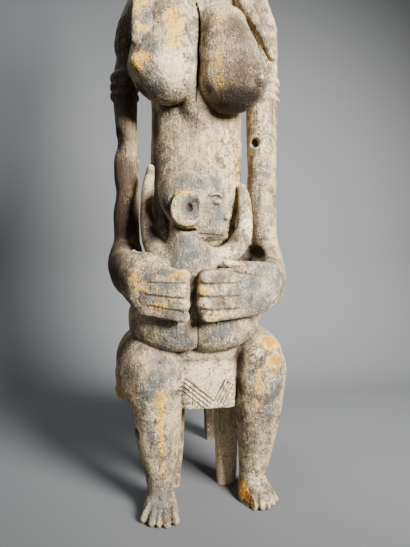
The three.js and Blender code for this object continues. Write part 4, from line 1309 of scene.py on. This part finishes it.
def mark_surface(mesh, block):
    """Gives each vertex its masks, by the share of wood round it, which places painted shading in
    hollows and pale worn edges, and by the soft balls of each finish and of the painted light and
    shading. The broken face of the foot shows raw wood as well."""
    place = np.zeros(len(mesh.vertices) * 3, np.float32)
    mesh.vertices.foreach_get("co", place)
    place = place.reshape(-1, 3) / MM - CARVER_TO_FRAME
    shares = {size: wood_share(block, place, size) for size in (CLOSE, WIDE)}
    masks = {name: np.clip((shares[size] - low) / (high - low), 0, 1)
             for name, (size, low, high) in SHARE_MASKS.items()}
    masks.update({name: place_mask(place, places) for name, places in PLACES.items()})
    broken = face_mask(place, *FOOT_BREAK, *FOOT_BREAK_BOX)
    masks["raw"] = np.maximum(masks["raw"], FOOT_BREAK_STRENGTH * broken)
    for name, values in masks.items():
        attribute = mesh.attributes.new(name, "FLOAT", "POINT")
        attribute.data.foreach_set("value", np.ascontiguousarray(values, np.float32))


class FIGURE_OT_carve(bpy.types.Operator):
    """Carve the mother, child and stool as one piece of wood"""
    bl_idname = "figure.carve"
    bl_label = "Carve figure"

    def execute(self, context):
        settings = context.scene.figure_carving
        block = carve_block(settings.step / MM)
        points, quads = largest_shell(*surface_net(block))
        points = wear_surface(points, quads, settings.seed)
        points[:, 2] = np.maximum(points[:, 2], 0)
        piece = thinned("carved_figure", (points + CARVER_TO_FRAME) * MM, quads,
                        settings.triangles)
        mesh = piece.data
        mesh.shade_smooth()
        mark_surface(mesh, block)
        wood = context.scene.figure_wood
        colours = {key: tuple(getattr(wood, key)) for key in WoodSettings.__annotations__}
        mesh.materials.clear()
        mesh.materials.append(wood_material(colours))
        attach(piece, BODY)
        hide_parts(NODE)
        return {"FINISHED"}


# The soft lights: name and setting, kind, size in metres, place, target and colour

LIGHTS = [
    ("key_light", "SPOT", 0.7, (0.9, -1.26, 1.0), (0.12, 0.4, 0.32), (1.0, 0.97, 0.92)),
    ("fill_light", "AREA", 1.4, (-1.6, -1.0, 1.0), (0, 0, 0.4), (0.9, 0.95, 1.0)),
    ("back_light", "AREA", 0.5, (-0.55, 0.62, 1.6), (0, 0, 0.5), (0.95, 0.97, 1.0)),
]
SPOT_ANGLE = math.radians(64)
SKY_COLOUR = (0.85, 0.92, 1.0, 1)
SENSOR_WIDTH = 36


def soft_light(name, kind, size, location, target, colour, power):
    """A round soft light, AREA or SPOT, that looks from its location at a target."""
    light = bpy.data.lights.new(name, kind)
    if kind == "AREA":
        light.shape = "DISK"
        light.size = size
    else:
        light.shadow_soft_size = size / 2
        light.spot_size = SPOT_ANGLE
        light.spot_blend = 1.0
    light.energy = power
    light.color = colour
    lamp = bpy.data.objects.new(name, light)
    bpy.context.scene.collection.objects.link(lamp)
    from_target = Vector(location) - Vector(target)
    lamp.location = location
    lamp.rotation_euler = from_target.to_track_quat("Z", "Y").to_euler()


def stage_sheet(width, front, back, bend, height, rings):
    """Floor and backdrop as one sheet: flat from front to back, up through a quarter circle of the
    bend's radius, then upright. The profile is carried across the width."""
    angle = np.linspace(0, math.pi / 2, rings)
    y = np.concatenate([[-front], back + bend * np.sin(angle), [back + bend]])
    z = np.concatenate([[0], bend - bend * np.cos(angle), [height]])
    x = np.linspace(-width / 2, width / 2, 5)
    points = np.stack([np.tile(x, len(y)), np.repeat(y, len(x)), np.repeat(z, len(x))], axis=1)
    i, j = np.meshgrid(np.arange(len(y) - 1), np.arange(len(x) - 1), indexing="ij")
    first = (i * len(x) + j).ravel()
    return points, np.column_stack([first, first + 1, first + len(x) + 1, first + len(x)])


def floor_material(colour):
    """A plain pale floor and backdrop that is clear from behind, so that it hides nothing there."""
    material = bpy.data.materials.new("pale_floor")
    material.use_nodes = True
    tree = material.node_tree
    shader = tree.nodes["Principled BSDF"]
    shader.inputs["Base Color"].default_value = (*colour, 1)
    shader.inputs["Roughness"].default_value = 0.8
    shader.inputs["Specular IOR Level"].default_value = 0.2
    side = node(tree, "ShaderNodeNewGeometry")
    clear = node(tree, "ShaderNodeBsdfTransparent")
    one_sided = node(tree, "ShaderNodeMixShader")
    for index, value in enumerate((side.outputs["Backfacing"], shader.outputs[0],
                                   clear.outputs[0])):
        tree.links.new(value, one_sided.inputs[index])
    tree.links.new(one_sided.outputs[0], tree.nodes["Material Output"].inputs["Surface"])
    return material


class FIGURE_OT_stage(bpy.types.Operator):
    """Set up the floor, the soft lights and the camera"""
    bl_idname = "figure.stage"
    bl_label = "Set up stage"

    def execute(self, context):
        scene = context.scene
        settings = scene.figure_stage
        mesh = mesh_from("floor", *stage_sheet(width=24.0, front=10.0, back=0.38, bend=0.34,
                                               height=12.0, rings=24))
        mesh.shade_smooth()
        mesh.materials.append(floor_material(settings.floor))
        floor = bpy.data.objects.new("floor", mesh)
        scene.collection.objects.link(floor)
        for row in LIGHTS:
            soft_light(*row, power=getattr(settings, row[0]))
        world = bpy.data.worlds.new("surrounding")
        world.use_nodes = True
        background = world.node_tree.nodes["Background"]
        background.inputs["Color"].default_value = SKY_COLOUR
        background.inputs["Strength"].default_value = settings.sky
        scene.world = world
        camera_data = bpy.data.cameras.new("camera")
        camera_data.sensor_width = SENSOR_WIDTH
        camera_data.lens = settings.lens
        camera_data.clip_start = 0.02
        camera = bpy.data.objects.new("camera", camera_data)
        scene.collection.objects.link(camera)
        camera.location = (settings.camera_x, settings.camera_y, settings.camera_z)
        camera.rotation_euler = (math.pi / 2 - settings.pitch, 0, -settings.heading)
        scene.camera = camera
        return {"FINISHED"}


class FIGURE_PT_panel(bpy.types.Panel):
    """The figure's settings and steps"""
    bl_idname = "FIGURE_PT_panel"
    bl_label = "Carved figure"
    bl_space_type = "VIEW_3D"
    bl_region_type = "UI"
    bl_category = "Figure"

    def draw(self, context):
        layout = self.layout
        for name, group in SETTINGS.items():
            box = layout.box()
            for key in group.__annotations__:
                box.prop(getattr(context.scene, name), key)
        layout.operator(FIGURE_OT_carve.bl_idname)
        layout.operator(FIGURE_OT_stage.bl_idname)


CLASSES = (*SETTINGS.values(), FIGURE_OT_carve, FIGURE_OT_stage, FIGURE_PT_panel)


def register():
    for cls in CLASSES:
        bpy.utils.register_class(cls)
    for name, group in SETTINGS.items():
        setattr(bpy.types.Scene, name, bpy.props.PointerProperty(type=group))


def unregister():
    for name in SETTINGS:
        delattr(bpy.types.Scene, name)
    for cls in reversed(CLASSES):
        bpy.utils.unregister_class(cls)


def main():
    register()
    bpy.ops.figure.carve()
    bpy.ops.figure.stage()


if __name__ == "__main__":
    main()
